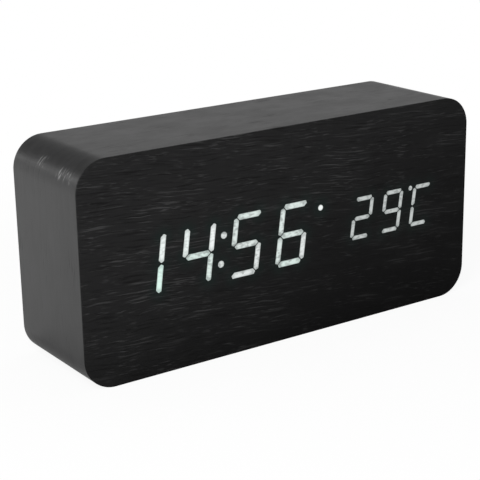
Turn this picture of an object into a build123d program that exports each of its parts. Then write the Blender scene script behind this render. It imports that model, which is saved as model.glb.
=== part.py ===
from build123d import *
import math
import os

# The clock stands on z = 0. X runs along its front from left to right, Y from front to back and Z up.
# The origin is the middle of its underside. All sizes are in millimetres.

# Overall size
case_width = 150.0
case_height = 70.0
case_depth = 40.0
case_corner_radius = 10.0

# Films that dress the fibreboard
front_film_thickness = 0.5
rear_film_thickness = 0.5
rear_film_margin = 0.3
side_wrap_thickness = 0.4

# Fibreboard case
case_wall = 9.6
front_wall = 6.0
cavity_corner_radius = 3.0
corner_pad = 6.5
cover_ledge = 4.0
window_width = 126.6
window_height = 27.6
window_corner_radius = 1.5
pilot_depth = 5.0

# Cuts run past the face that they open by this much
overrun = 1.0

# Digits: the time is in larger figures than the temperature, all leaning by the same angle
digit_slant = 8.0
time_digit_height = 20.3
time_digit_width = 11.2
time_digit_pitch = 17.8
time_digit_count = 4
time_bar_width = 1.85
time_middle_x = -25.95
temperature_digit_height = 14.2
temperature_digit_width = 8.3
temperature_digit_pitch = 12.7
temperature_digit_count = 3
temperature_bar_width = 1.4
temperature_middle_x = 41.95
temperature_rise = 0.2
bar_gap = 0.3
bar_corner_radius = 0.3
bar_outer_trim_share = 0.24
colon_dot_diameter = 2.2
colon_dot_rise = 4.53
marker_dot_diameter = 1.9
marker_dot_offset = 10.35
marker_dot_rise = 6.6
degree_dot_diameter = 1.6
degree_dot_offset = 5.5
degree_dot_rise = 6.4

# The bars that are lit, by letter: a is the top bar, then clockwise to f, and g is the middle one
hour_bars = ["bc", "bcfg"]
minute_bars = ["acdfg", "acdefg"]
temperature_bars = ["abdeg", "abcdfg"]
celsius_bars = ["adef"]
all_bars = "abcdefg"

# Display module
housing_gap = 0.3
housing_corner_radius = 1.2
diffuser_thickness = 2.0
gasket_thickness = 1.0
gasket_margin = 0.4
display_board_gap = 1.0
display_board_height = 37.0
display_screw_rise = 16.0
display_screw_reach = 56.0
led_length = 1.0
led_width = 0.6
led_height = 0.5

# Circuit boards
board_thickness = 1.6
board_corner_radius = 1.0
main_board_width = 54.0
main_board_rise_gap = 4.0
cavity_side_room = 8.0
board_screw_inset = 3.5

# Screws
wood_screw_diameter = 2.2
wood_screw_head_diameter = 4.0
wood_screw_head_height = 1.3
cover_screw_diameter = 2.6
cover_screw_length = 10.0
cover_screw_head_diameter = 5.0
cover_screw_sink = 1.5
board_screw_diameter = 2.0
board_screw_length = 5.6
board_screw_head_diameter = 3.6
board_screw_head_height = 1.2
screw_tip_length = 1.2
recess_width_share = 0.56
recess_slot_share = 0.16
recess_depth_share = 0.6
head_round_share = 0.33
screw_clearance = 0.2
boss_diameter = 5.0

# Rear cover
cover_thickness = 3.0
cover_recess = 0.8
cover_gap = 0.3
cover_corner_radius = 3.0
cover_edge_chamfer = 0.4
cover_screw_inset = 5.0

# Battery well and cells
cell_diameter = 10.5
cell_length = 44.5
cell_nub_diameter = 3.8
cell_nub_height = 0.8
cell_shoulder = 0.6
cell_base_recess = 0.25
cell_base_rim = 1.2
cell_base_radius = 0.3
cell_nub_radius = 0.25
cell_pitch = 11.0
cell_gap = 0.3
well_wall = 1.5
well_end_gap = 0.1
well_side_gap = 0.6
well_floor_gap = 0.1
well_corner_radius = 1.5

# Battery contacts
contact_thickness = 0.4
contact_width = 9.0
contact_height = 9.2
contact_tab_width = 3.0
contact_tab_length = 2.0
contact_slot_gap = 0.1
contact_seat = 0.05
dimple_height = 0.75
dimple_diameter = 4.6
dimple_top_diameter = 2.6
spring_wire = 0.5
spring_base_diameter = 6.4
spring_tip_diameter = 4.4
spring_length = 4.65
spring_turns = 2
spring_bend = 0.8

# Battery door
door_thickness = 2.4
door_gap = 0.3
door_seat_gap = 0.05
door_lap = 1.8
hinge_pin_diameter = 1.4
hinge_pin_length = 1.6
hinge_clearance = 0.05
latch_width = 14.0
latch_slit = 0.9
latch_length = 8.0
latch_hook_width = 2.6
latch_hook_height = 0.8
latch_hook_thickness = 0.6
latch_clearance = 0.25
grip_from_top = 1.2
finger_notch_radius = 3.6
finger_notch_depth = 1.6
grip_count = 3
grip_pitch = 2.0
grip_width = 0.8
grip_depth = 0.4
grip_length = 8.0

# Keys, placed from the middle of the main board
key_offsets = [-15.0, -3.0, 9.0]
key_rise = 11.0
key_names = ["set", "up", "down"]
button_diameter = 7.0
button_clearance = 0.15
button_proud = 0.7
button_flange_diameter = 9.0
button_flange_thickness = 0.8
button_flange_gap = 0.1
button_edge_radius = 0.5
symbol_height = 0.2
symbol_size = 2.2
symbol_ring_width = 0.5
switch_width = 6.0
switch_body_height = 3.5
switch_height = 5.0
switch_frame_thickness = 0.3
switch_frame_inset = 0.35
switch_rivet_diameter = 0.9
switch_rivet_inset = 0.9
plunger_diameter = 3.4
plunger_clearance = 0.1
plunger_depth = 1.6
plunger_room = 0.8

# Power inlet
jack_offset = -14.0
jack_up = 12.0
jack_base_width = 9.0
jack_base_height = 5.2
jack_base_chamfer = 0.9
jack_nose_diameter = 8.0
jack_nose_gap = 0.2
jack_nose_recess = 0.2
jack_bore_diameter = 3.6
jack_bore_depth = 7.6
jack_pin_diameter = 1.3
jack_pin_recess = 0.6
jack_pin_round_share = 0.33

# Sound, hearing and temperature
buzzer_offset = 6.0
buzzer_up = 10.0
buzzer_diameter = 9.0
buzzer_height = 5.4
buzzer_hole_diameter = 1.6
buzzer_hole_depth = 1.5
sound_slot_count = 5
sound_slot_pitch = 1.8
sound_slot_width = 0.9
microphone_offset = -3.0
microphone_diameter = 6.0
microphone_height = 2.7
microphone_rim = 0.5
microphone_hole_diameter = 1.6
thermistor_offset = 20.0
thermistor_up = 12.0
thermistor_bead = 2.4
thermistor_lead = 0.5
thermistor_spread = 1.2
thermistor_lead_length = 3.0
vent_count = 4
vent_pitch = 2.6
vent_width = 1.2
vent_length = 8.0

# Parts soldered to the boards
chip_stand = 0.1
driver_xs = [-38.0, 30.0]
driver_width = 17.9
driver_length = 7.5
driver_height = 2.3
controller_offset = -10.0
controller_rise = 3.0
pin_count = 14
pin_pitch = 1.27
pin_width = 0.4
pin_thickness = 0.25
pin_reach = 1.4
crystal_offset = -10.0
crystal_drop = 9.0
crystal_diameter = 2.0
crystal_length = 6.0
crystal_lead = 0.4
crystal_lead_length = 2.0
crystal_lead_pitch = 0.7
capacitor_offset = 4.0
capacitor_up = 7.0
capacitor_diameter = 6.3
capacitor_height = 7.0
capacitor_edge_radius = 0.5
capacitor_groove = 0.3
capacitor_groove_height = 1.7
surface_part_length = 2.0
surface_part_width = 1.25
surface_part_height = 0.6
surface_part_x_shares = [0.10, 0.10, 0.22, 0.30, 0.70, 0.78, 0.86, 0.93]
surface_part_z_shares = [0.36, 0.24, 0.12, 0.12, 0.90, 0.90, 0.90, 0.60]

# Ribbon between the boards
ribbon_thickness = 0.9
ribbon_width = 12.0
ribbon_display_x = 0.0
ribbon_main_offset = 10.0
ribbon_bend_share = 0.85
socket_length = 15.0
socket_depth = 5.0
socket_height = 4.0

# Battery leads
lead_diameter = 1.3
lead_bend_share = 0.45
lead_first_run = 4.0
red_lead_points = [(-4.6, 3.4, 43.0), (-8.5, 5.2, 40.0), (-8.5, 8.7, 40.0)]
black_lead_points = [
    (42.0, 2.9, 25.4),
    (26.0, 2.5, 28.4),
    (8.0, 2.7, 29.6),
    (-1.0, 2.5, 31.4),
    (-8.5, 5.0, 32.0),
    (-8.5, 8.7, 32.0),
]

# Planes across the depth, from front to back
front_y = -case_depth / 2
rear_y = case_depth / 2
core_front = front_y + front_film_thickness
core_rear = rear_y - rear_film_thickness
wall_back = core_front + front_wall
display_board_front = wall_back + gasket_thickness
display_board_rear = display_board_front + board_thickness
cover_face = rear_y - cover_recess
cover_back = cover_face - cover_thickness
button_flange_rear = cover_back - button_flange_gap
button_flange_front = button_flange_rear - button_flange_thickness
main_board_rear = button_flange_front - switch_height
main_board_front = main_board_rear - board_thickness
door_inner = cover_face - door_thickness
door_seat = door_inner - door_seat_gap
cell_y = door_inner - cell_gap - cell_diameter / 2
well_floor = cell_y - cell_diameter / 2 - well_floor_gap
well_bottom = well_floor - well_wall

# Widths and heights of the hollows
middle_z = case_height / 2
core_width = case_width - 2 * side_wrap_thickness
core_height = case_height - 2 * side_wrap_thickness
core_radius = case_corner_radius - side_wrap_thickness
cavity_width = core_width - 2 * case_wall
cavity_height = core_height - 2 * case_wall
rebate_width = cavity_width + 2 * cover_ledge
rebate_height = cavity_height + 2 * cover_ledge
cover_width = rebate_width - 2 * cover_gap
cover_height = rebate_height - 2 * cover_gap
display_board_width = cavity_width - 2 * display_board_gap
main_board_height = cavity_height - 2 * main_board_rise_gap
housing_width = window_width - 2 * housing_gap
housing_height = window_height - 2 * housing_gap
cell_room = cell_length + dimple_height + spring_length + 2 * contact_seat
well_width = cell_room + 2 * (contact_thickness + well_end_gap)
well_height = 2 * cell_pitch + cell_diameter + 2 * well_side_gap
well_outer_width = well_width + 2 * well_wall
well_outer_height = well_height + 2 * well_wall
well_x = (cavity_width - well_outer_width) / 2 - cavity_side_room
cell_zs = [middle_z + cell_pitch, middle_z, middle_z - cell_pitch]
door_width = well_width + 2 * door_lap
door_top = middle_z + well_height / 2 + door_lap
door_low = middle_z - well_height / 2 - door_lap
hinge_y = cover_face - door_thickness / 2
hinge_z = door_low + door_thickness / 2
socket_face_y = display_board_rear + socket_height
main_socket_face_y = main_board_front - socket_height

# Places on the main board, which stands a little in from the left end of the hollow
main_board_x = (main_board_width - cavity_width) / 2 + cavity_side_room
main_board_low = middle_z - main_board_height / 2
key_xs = [main_board_x + offset for offset in key_offsets]
key_z = middle_z + key_rise
jack_x = main_board_x + jack_offset
jack_z = main_board_low + jack_up
buzzer_x = main_board_x + buzzer_offset
buzzer_z = main_board_low + buzzer_up
microphone_x = main_board_x + microphone_offset
microphone_z = middle_z
thermistor_x = main_board_x + thermistor_offset
thermistor_z = main_board_low + thermistor_up
controller_x = main_board_x + controller_offset
controller_z = middle_z + controller_rise
crystal_x = main_board_x + crystal_offset
crystal_z = middle_z - crystal_drop
capacitor_x = main_board_x + capacitor_offset
capacitor_z = main_board_low + capacitor_up
ribbon_main_x = main_board_x + ribbon_main_offset


# Helpers


def slab(outline, front, back):
    """The solid of an outline drawn in X and Z, from its front Y to its back Y."""
    return Pos(0, back, 0) * (Plane.XZ * extrude(outline, amount=back - front, dir=(0, 0, 1)))


def panel(width, height, radius, x=0.0, z=middle_z):
    """A rectangle with round corners, drawn in X and Z about a point."""
    return Pos(x, z) * RectangleRounded(width, height, radius)


def facing_rear(x, y, z):
    """Where a thing that is drawn standing on Z stands on a face that looks to the rear."""
    return Pos(x, y, z) * Rot(-90, 0, 0)


def facing_front(x, y, z):
    """Where a thing that is drawn standing on Z stands on a face that looks to the front."""
    return Pos(x, y, z) * Rot(90, 0, 0)


def standing(solid_height):
    """A lift that puts the foot of a centred solid on its plane."""
    return Pos(0, 0, solid_height / 2)


def box_on(width, length, height, x=0.0, y=0.0, foot=0.0):
    """A box on a plane, by its width, length and height."""
    return Pos(x, y, foot) * standing(height) * Box(width, length, height)


def rod_on(diameter, height, x=0.0, y=0.0, foot=0.0):
    """A round bar that stands on a plane."""
    return Pos(x, y, foot) * standing(height) * Cylinder(diameter / 2, height)


def joined(solids):
    """Many solids as one shape."""
    whole = solids[0]
    for solid in solids[1:]:
        whole = whole + solid
    return whole


# Figures of the display


def bar_outline(half_length, width, outer_side):
    """One bar along X about its middle, with pointed ends, one edge a little longer on its outer side."""
    half_width = width / 2
    inner = half_length - half_width
    outer = half_length - width * bar_outer_trim_share
    upper = outer if outer_side > 0 else inner
    lower = outer if outer_side < 0 else inner
    points = [
        (-half_length, 0),
        (-upper, half_width),
        (upper, half_width),
        (half_length, 0),
        (lower, -half_width),
        (-lower, -half_width),
    ]
    return points


def digit_bars(letters, height, width, bar_width):
    """The corner points of a digit's bars about its middle, upright."""
    span = width - bar_width
    rise = (height - bar_width) / 2
    setback = bar_gap / math.sqrt(2)
    flat_half = span / 2 - setback
    upright_half = rise / 2 - setback
    bars = []
    for letter in letters:
        if letter in "adg":
            side = {"a": 1, "g": 0, "d": -1}[letter]
            outline = bar_outline(flat_half, bar_width, side)
            bars.append([(x, z + side * rise) for x, z in outline])
        else:
            side = 1 if letter in "bc" else -1
            up = 1 if letter in "bf" else -1
            outline = bar_outline(upright_half, bar_width, -side * up)
            turned = [(-z * up, x * up) for x, z in outline]
            bars.append([(x + side * span / 2, z + up * rise / 2) for x, z in turned])
    return bars


def slanted(points, x, z):
    """Points about a digit's middle, leaned to the right and moved to its place."""
    lean = math.tan(math.radians(digit_slant))
    return [(x + u + v * lean, z + v) for u, v in points]


def digit(letters, x, z, height, width, bar_width):
    """The chosen bars of one digit, drawn in X and Z."""
    faces = []
    for bar in digit_bars(letters, height, width, bar_width):
        face = Polygon(*slanted(bar, x, z), align=None)
        faces.append(fillet(face.vertices(), bar_corner_radius))
    return faces


def dot(diameter, offset, rise, x, z):
    """A round dot beside a digit."""
    centre = slanted([(offset, rise)], x, z)[0]
    return Pos(*centre) * Circle(diameter / 2)


def time_digit(letters, place):
    """A large digit in one of the four places of the time."""
    x = time_middle_x + (place - (time_digit_count - 1) / 2) * time_digit_pitch
    return digit(letters, x, middle_z, time_digit_height, time_digit_width, time_bar_width)


def small_digit(letters, place):
    """A small digit in one of the three places of the temperature."""
    x = temperature_middle_x + (place - (temperature_digit_count - 1) / 2) * temperature_digit_pitch
    z = middle_z + temperature_rise
    return digit(letters, x, z, temperature_digit_height, temperature_digit_width, temperature_bar_width)


def colon():
    """The two dots between the hours and the minutes."""
    rises = (colon_dot_rise, -colon_dot_rise)
    return [dot(colon_dot_diameter, 0, rise, time_middle_x, middle_z) for rise in rises]


def marker():
    """The dot after the minutes."""
    x = time_middle_x + (time_digit_count - 1) / 2 * time_digit_pitch
    return [dot(marker_dot_diameter, marker_dot_offset, marker_dot_rise, x, middle_z)]


def degree_dot():
    """The dot before the letter C."""
    x = temperature_middle_x + (temperature_digit_count - 1) / 2 * temperature_digit_pitch
    z = middle_z + temperature_rise
    return [dot(degree_dot_diameter, -degree_dot_offset, degree_dot_rise, x, z)]


def lit_groups():
    """The lit figures by name."""
    first_minute = len(hour_bars)
    first_unit = len(temperature_bars)
    return {
        "lit_hours": [face for place, bars in enumerate(hour_bars) for face in time_digit(bars, place)],
        "lit_colon": colon(),
        "lit_minutes": [face for place, bars in enumerate(minute_bars, first_minute)
                        for face in time_digit(bars, place)],
        "lit_marker": marker(),
        "lit_temperature": [face for place, bars in enumerate(temperature_bars)
                            for face in small_digit(bars, place)],
        "lit_celsius": [face for place, bars in enumerate(celsius_bars, first_unit)
                        for face in small_digit(bars, place)] + degree_dot(),
    }


def time_windows():
    """Every bar and dot of the time, lit or not."""
    digits = [face for place in range(time_digit_count) for face in time_digit(all_bars, place)]
    return digits + colon() + marker()


def temperature_windows():
    """Every bar and dot of the temperature, lit or not."""
    digits = [face for place in range(temperature_digit_count) for face in small_digit(all_bars, place)]
    return digits + degree_dot()


# Screws


def screw(diameter, length, head_diameter, head_height, sink=0.0):
    """A cross-recessed screw that stands head up on Z, its head's under side at zero."""
    shank = Pos(0, 0, screw_tip_length - length) * rod_on(diameter, length - screw_tip_length)
    tip = Pos(0, 0, screw_tip_length / 2 - length) * Cone(diameter / 4, diameter / 2, screw_tip_length)
    if sink:
        head = Pos(0, 0, -sink / 2) * Cone(diameter / 2, head_diameter / 2, sink)
        top = 0.0
        recess_depth = sink * recess_depth_share
    else:
        head = rod_on(head_diameter, head_height)
        head = fillet(head.edges().group_by(Axis.Z)[-1], head_height * head_round_share)
        top = head_height
        recess_depth = head_height * recess_depth_share
    reach = head_diameter * recess_width_share
    slot = head_diameter * recess_slot_share
    recess = box_on(reach, slot, recess_depth + overrun, foot=top - recess_depth)
    recess = recess + box_on(slot, reach, recess_depth + overrun, foot=top - recess_depth)
    return shank + tip + head - recess


def display_screw_places():
    """The six places of the display's screws, in X and Z."""
    reaches = (-display_screw_reach, 0, display_screw_reach)
    return [(x, middle_z + rise) for x in reaches for rise in (-display_screw_rise, display_screw_rise)]


def cover_screw_places():
    """The four corners of the cover that are screwed down."""
    reach = cover_width / 2 - cover_screw_inset
    rise = cover_height / 2 - cover_screw_inset
    return [(x, middle_z + z) for x in (-reach, reach) for z in (-rise, rise)]


def board_screw_places():
    """The four corners of the main board that are screwed to the cover's bosses."""
    reach = main_board_width / 2 - board_screw_inset
    rise = main_board_height / 2 - board_screw_inset
    return [(main_board_x + x, middle_z + z) for x in (-reach, reach) for z in (-rise, rise)]


def round_holes(places, diameter, front, back):
    """Round holes through Y at a list of places."""
    return slab(Sketch() + [Pos(*place) * Circle(diameter / 2) for place in places], front, back)


def make_display_screws():
    length = board_thickness + gasket_thickness + pilot_depth
    one = screw(wood_screw_diameter, length, wood_screw_head_diameter, wood_screw_head_height)
    return Compound([facing_rear(x, display_board_rear, z) * one for x, z in display_screw_places()])


def make_cover_screws():
    one = screw(cover_screw_diameter, cover_screw_length, cover_screw_head_diameter, 0.0, cover_screw_sink)
    return Compound([facing_rear(x, cover_face, z) * one for x, z in cover_screw_places()])


def make_board_screws():
    one = screw(board_screw_diameter, board_screw_length, board_screw_head_diameter, board_screw_head_height)
    return Compound([facing_front(x, main_board_front, z) * one for x, z in board_screw_places()])


# Case and films


def clear_of_pads(outline):
    """An outline less the corner pads of fibreboard that stand in the hollow."""
    for side in (-1, 1):
        for end in (-1, 1):
            x = side * (cavity_width - corner_pad) / 2
            z = middle_z + end * (cavity_height - corner_pad) / 2
            outline = outline - Pos(x, z) * Rectangle(corner_pad, corner_pad)
    return outline


def make_case_core():
    """The fibreboard block, hollowed from the back, with corner pads left in for the cover's screws."""
    body = slab(panel(core_width, core_height, core_radius), core_front, core_rear)
    window = panel(window_width, window_height, window_corner_radius)
    hollow = panel(cavity_width, cavity_height, cavity_corner_radius)
    hollow = clear_of_pads(hollow)
    rebate = panel(rebate_width, rebate_height, cover_corner_radius)
    pilots = round_holes(display_screw_places(), wood_screw_diameter, wall_back - pilot_depth, wall_back)
    cover_pilot_front = cover_face - cover_screw_length
    cover_pilots = round_holes(cover_screw_places(), cover_screw_diameter, cover_pilot_front, cover_back)
    body = body - slab(window, core_front - overrun, wall_back + overrun)
    body = body - slab(hollow, wall_back, cover_back + overrun)
    body = body - slab(rebate, cover_back, core_rear + overrun)
    return body - pilots - cover_pilots


def make_front_film():
    """The film over the front, thinned right through where light shows."""
    film = slab(panel(case_width, case_height, case_corner_radius), front_y, core_front)
    lit = [face for faces in lit_groups().values() for face in faces]
    return film - slab(Sketch() + lit, front_y - overrun, core_front + overrun)


def make_side_wrap():
    """The film round the four sides of the block."""
    ring = panel(case_width, case_height, case_corner_radius) - panel(core_width, core_height, core_radius)
    return slab(ring, core_front, rear_y)


def make_rear_film():
    """The film on the back, open round the cover."""
    ring = panel(core_width, core_height, core_radius)
    width = rebate_width + 2 * rear_film_margin
    height = rebate_height + 2 * rear_film_margin
    ring = ring - panel(width, height, cover_corner_radius + rear_film_margin)
    return slab(ring, core_rear, rear_y)


# Display


def make_display_housing():
    """The reflector block, with a channel for each bar and dot from the board to the film."""
    block = slab(panel(housing_width, housing_height, housing_corner_radius), core_front, display_board_front)
    channels = Sketch() + time_windows() + temperature_windows()
    return block - slab(channels, core_front - overrun, display_board_front + overrun)


def make_diffusers(windows):
    """The milky fillings behind the film."""
    return slab(Sketch() + windows, core_front, core_front + diffuser_thickness)


def make_display_gasket():
    """The foam frame between the display's board and the front wall."""
    ring = clear_of_pads(panel(display_board_width, display_board_height, board_corner_radius))
    inner_width = window_width + 2 * gasket_margin
    inner_height = window_height + 2 * gasket_margin
    ring = ring - panel(inner_width, inner_height, window_corner_radius)
    ring = slab(ring, wall_back, display_board_front)
    holes = round_holes(display_screw_places(), wood_screw_diameter + screw_clearance,
                        wall_back - overrun, display_board_front + overrun)
    return ring - holes


def make_display_board():
    """The board that the reflector and its lights are soldered to."""
    outline = clear_of_pads(panel(display_board_width, display_board_height, board_corner_radius))
    board = slab(outline, display_board_front, display_board_rear)
    holes = round_holes(display_screw_places(), wood_screw_diameter + screw_clearance,
                        display_board_front - overrun, display_board_rear + overrun)
    return board - holes


def make_led_chips():
    """One small light in the middle of each channel."""
    chips = []
    for face in time_windows() + temperature_windows():
        centre = face.center()
        bounds = face.bounding_box()
        upright = bounds.size.Y > bounds.size.X
        size = (led_width, led_length) if upright else (led_length, led_width)
        chips.append(facing_front(centre.X, display_board_front, centre.Y) * box_on(*size, led_height))
    return Compound(chips)


def chip_with_pins():
    """A small-outline chip that stands on Z, with a row of pins along both long sides."""
    body = box_on(driver_width, driver_length, driver_height - chip_stand, foot=chip_stand)
    pins = []
    for index in range(pin_count):
        x = (index - (pin_count - 1) / 2) * pin_pitch
        for side in (-1, 1):
            shoulder = side * (driver_length + pin_reach) / 2
            pins.append(box_on(pin_width, pin_reach, pin_thickness, x, shoulder, driver_height / 2))
            ankle = side * (driver_length / 2 + pin_reach - pin_thickness / 2)
            pins.append(box_on(pin_width, pin_thickness, driver_height / 2, x, ankle))
    return joined([body] + pins)


def make_display_driver():
    one = chip_with_pins()
    return Compound([facing_rear(x, display_board_rear, middle_z) * one for x in driver_xs])


# Main board and what stands on it


def make_main_board():
    board = slab(panel(main_board_width, main_board_height, board_corner_radius, main_board_x),
                 main_board_front, main_board_rear)
    holes = round_holes(board_screw_places(), board_screw_diameter + screw_clearance,
                        main_board_front - overrun, main_board_rear + overrun)
    return board - holes


def make_microcontroller():
    return facing_front(controller_x, main_board_front, controller_z) * chip_with_pins()


def make_crystal():
    """A watch crystal lying on the board with its two leads bent down to it."""
    axis_height = crystal_diameter / 2
    can = Pos(0, 0, axis_height) * Rot(0, 90, 0) * Cylinder(crystal_diameter / 2, crystal_length)
    leads = []
    for side in (-1, 1):
        y = side * crystal_lead_pitch / 2
        x = (crystal_length + crystal_lead_length) / 2
        leads.append(Pos(x, y, axis_height) * Box(crystal_lead_length, crystal_lead, crystal_lead))
        foot_x = crystal_length / 2 + crystal_lead_length - crystal_lead / 2
        leads.append(box_on(crystal_lead, crystal_lead, axis_height, foot_x, y))
    return facing_front(crystal_x, main_board_front, crystal_z) * joined([can] + leads)


def make_capacitor():
    """An electrolytic can with a rounded top and a rolled groove."""
    can = rod_on(capacitor_diameter, capacitor_height)
    can = fillet(can.edges().group_by(Axis.Z)[-1], capacitor_edge_radius)
    groove = Pos(0, 0, capacitor_groove_height) * Torus(capacitor_diameter / 2, capacitor_groove)
    return facing_front(capacitor_x, main_board_front, capacitor_z) * (can - groove)


def make_surface_parts():
    """Resistors and small capacitors on the front of the main board."""
    parts = []
    low_x = main_board_x - main_board_width / 2
    for x_share, z_share in zip(surface_part_x_shares, surface_part_z_shares):
        x = low_x + x_share * main_board_width
        z = main_board_low + z_share * main_board_height
        block = box_on(surface_part_length, surface_part_width, surface_part_height)
        parts.append(facing_front(x, main_board_front, z) * block)
    return Compound(parts)


def make_buzzer():
    """A round sounder with a hole in its top."""
    can = rod_on(buzzer_diameter, buzzer_height)
    hole = rod_on(buzzer_hole_diameter, buzzer_hole_depth + overrun, foot=buzzer_height - buzzer_hole_depth)
    return facing_rear(buzzer_x, main_board_rear, buzzer_z) * (can - hole)


def make_microphone():
    """A round capsule with a sunk face inside its rim."""
    can = rod_on(microphone_diameter, microphone_height)
    face = rod_on(microphone_diameter - 2 * microphone_rim, microphone_rim + overrun,
                  foot=microphone_height - microphone_rim)
    return facing_rear(microphone_x, main_board_rear, microphone_z) * (can - face)


def make_thermistor():
    """A bead on two leads behind the vents."""
    bead = Pos(0, 0, thermistor_lead_length) * Sphere(thermistor_bead / 2)
    reach = thermistor_spread / 2
    leads = [rod_on(thermistor_lead, thermistor_lead_length, x) for x in (-reach, reach)]
    return facing_rear(thermistor_x, main_board_rear, thermistor_z) * joined([bead] + leads)


def make_dc_jack():
    """The inlet's body, whose round nose reaches through the cover."""
    nose_height = cover_face - jack_nose_recess - main_board_rear
    body = box_on(jack_base_width, jack_base_width, jack_base_height)
    body = chamfer(body.edges().filter_by(Axis.Z), jack_base_chamfer)
    body = body + rod_on(jack_nose_diameter, nose_height)
    body = body - rod_on(jack_bore_diameter, jack_bore_depth + overrun, foot=nose_height - jack_bore_depth)
    body = body - rod_on(jack_pin_diameter, nose_height)
    return facing_rear(jack_x, main_board_rear, jack_z) * body


def make_dc_jack_pin():
    """The contact in the middle of the inlet."""
    height = cover_face - jack_nose_recess - main_board_rear - jack_pin_recess
    pin = rod_on(jack_pin_diameter, height)
    pin = fillet(pin.edges().group_by(Axis.Z)[-1], jack_pin_diameter * jack_pin_round_share)
    return facing_rear(jack_x, main_board_rear, jack_z) * pin


# Keys


def button_symbol(name):
    """The raised mark on a button, seen from behind: a ring, or a triangle that points up or down."""
    if name == "set":
        return Circle(symbol_size / 2) - Circle(symbol_size / 2 - symbol_ring_width)
    turn = -90 if name == "up" else 90
    return Rot(0, 0, turn) * RegularPolygon(symbol_size / 2, 3)


def make_button(name, x):
    """A round button with a flange inside the cover and a mark on its face."""
    flange = rod_on(button_flange_diameter, button_flange_thickness)
    height = cover_face + button_proud - symbol_height - button_flange_front
    cap = rod_on(button_diameter, height)
    cap = fillet(cap.edges().group_by(Axis.Z)[-1], button_edge_radius)
    mark = Pos(0, 0, height) * extrude(button_symbol(name), amount=symbol_height)
    return facing_rear(x, button_flange_front, key_z) * (flange + cap + mark)


def make_plunger(x):
    """The round stem of a key switch, which moves with its button."""
    length = switch_height - switch_body_height + plunger_depth
    stem = rod_on(plunger_diameter, length, foot=switch_body_height - plunger_depth)
    return facing_rear(x, main_board_rear, key_z) * stem


def make_switch(x):
    """A square key switch with a riveted metal frame, bored for its plunger."""
    body = box_on(switch_width, switch_width, switch_body_height - switch_frame_thickness)
    frame_width = switch_width - 2 * switch_frame_inset
    frame_foot = switch_body_height - switch_frame_thickness
    body = body + box_on(frame_width, frame_width, switch_frame_thickness, foot=frame_foot)
    bore_depth = plunger_depth + plunger_room
    bore = rod_on(plunger_diameter + 2 * plunger_clearance, bore_depth + overrun,
                  foot=switch_body_height - bore_depth)
    corner = switch_width / 2 - switch_rivet_inset
    rivets = [rod_on(switch_rivet_diameter, switch_body_height, side * corner, end * corner)
              for side in (-1, 1) for end in (-1, 1)]
    return facing_rear(x, main_board_rear, key_z) * (joined([body] + rivets) - bore)


# Rear cover


def cover_slots():
    """The sound slots, the vents and the microphone's hole, drawn in X and Z."""
    slots = []
    for index in range(sound_slot_count):
        offset = (index - (sound_slot_count - 1) / 2) * sound_slot_pitch
        chord = 2 * math.sqrt((buzzer_diameter / 2) ** 2 - offset ** 2)
        slots.append(Pos(buzzer_x, buzzer_z + offset) * SlotOverall(chord, sound_slot_width))
    for index in range(vent_count):
        offset = (index - (vent_count - 1) / 2) * vent_pitch
        vent = Rot(0, 0, 90) * SlotOverall(vent_length, vent_width)
        slots.append(Pos(thermistor_x + offset, thermistor_z) * vent)
    slots.append(Pos(microphone_x, microphone_z) * Circle(microphone_hole_diameter / 2))
    return slots


def latch_hooks(grow, height, thickness):
    """The two hooks at the top of the door's tongue, or the pockets that take them."""
    hooks = []
    for side in (-1, 1):
        x = well_x + side * (latch_width - latch_hook_width) / 2
        width = latch_hook_width + 2 * grow
        outline = Pos(x, door_top + height / 2) * Rectangle(width, height)
        hooks.append(slab(outline, door_inner - grow, door_inner + thickness + grow))
    return hooks


def contact_tab_slots():
    """The slots in the well's floor that the end contacts' tabs go through."""
    slots = []
    for side, z in ((-1, cell_zs[0]), (1, cell_zs[2])):
        x = well_x + side * (cell_room + contact_thickness) / 2
        width = contact_thickness + 2 * contact_slot_gap
        slots.append(Pos(x, z) * Rectangle(width, contact_tab_width + 2 * contact_slot_gap))
    return slots


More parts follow.
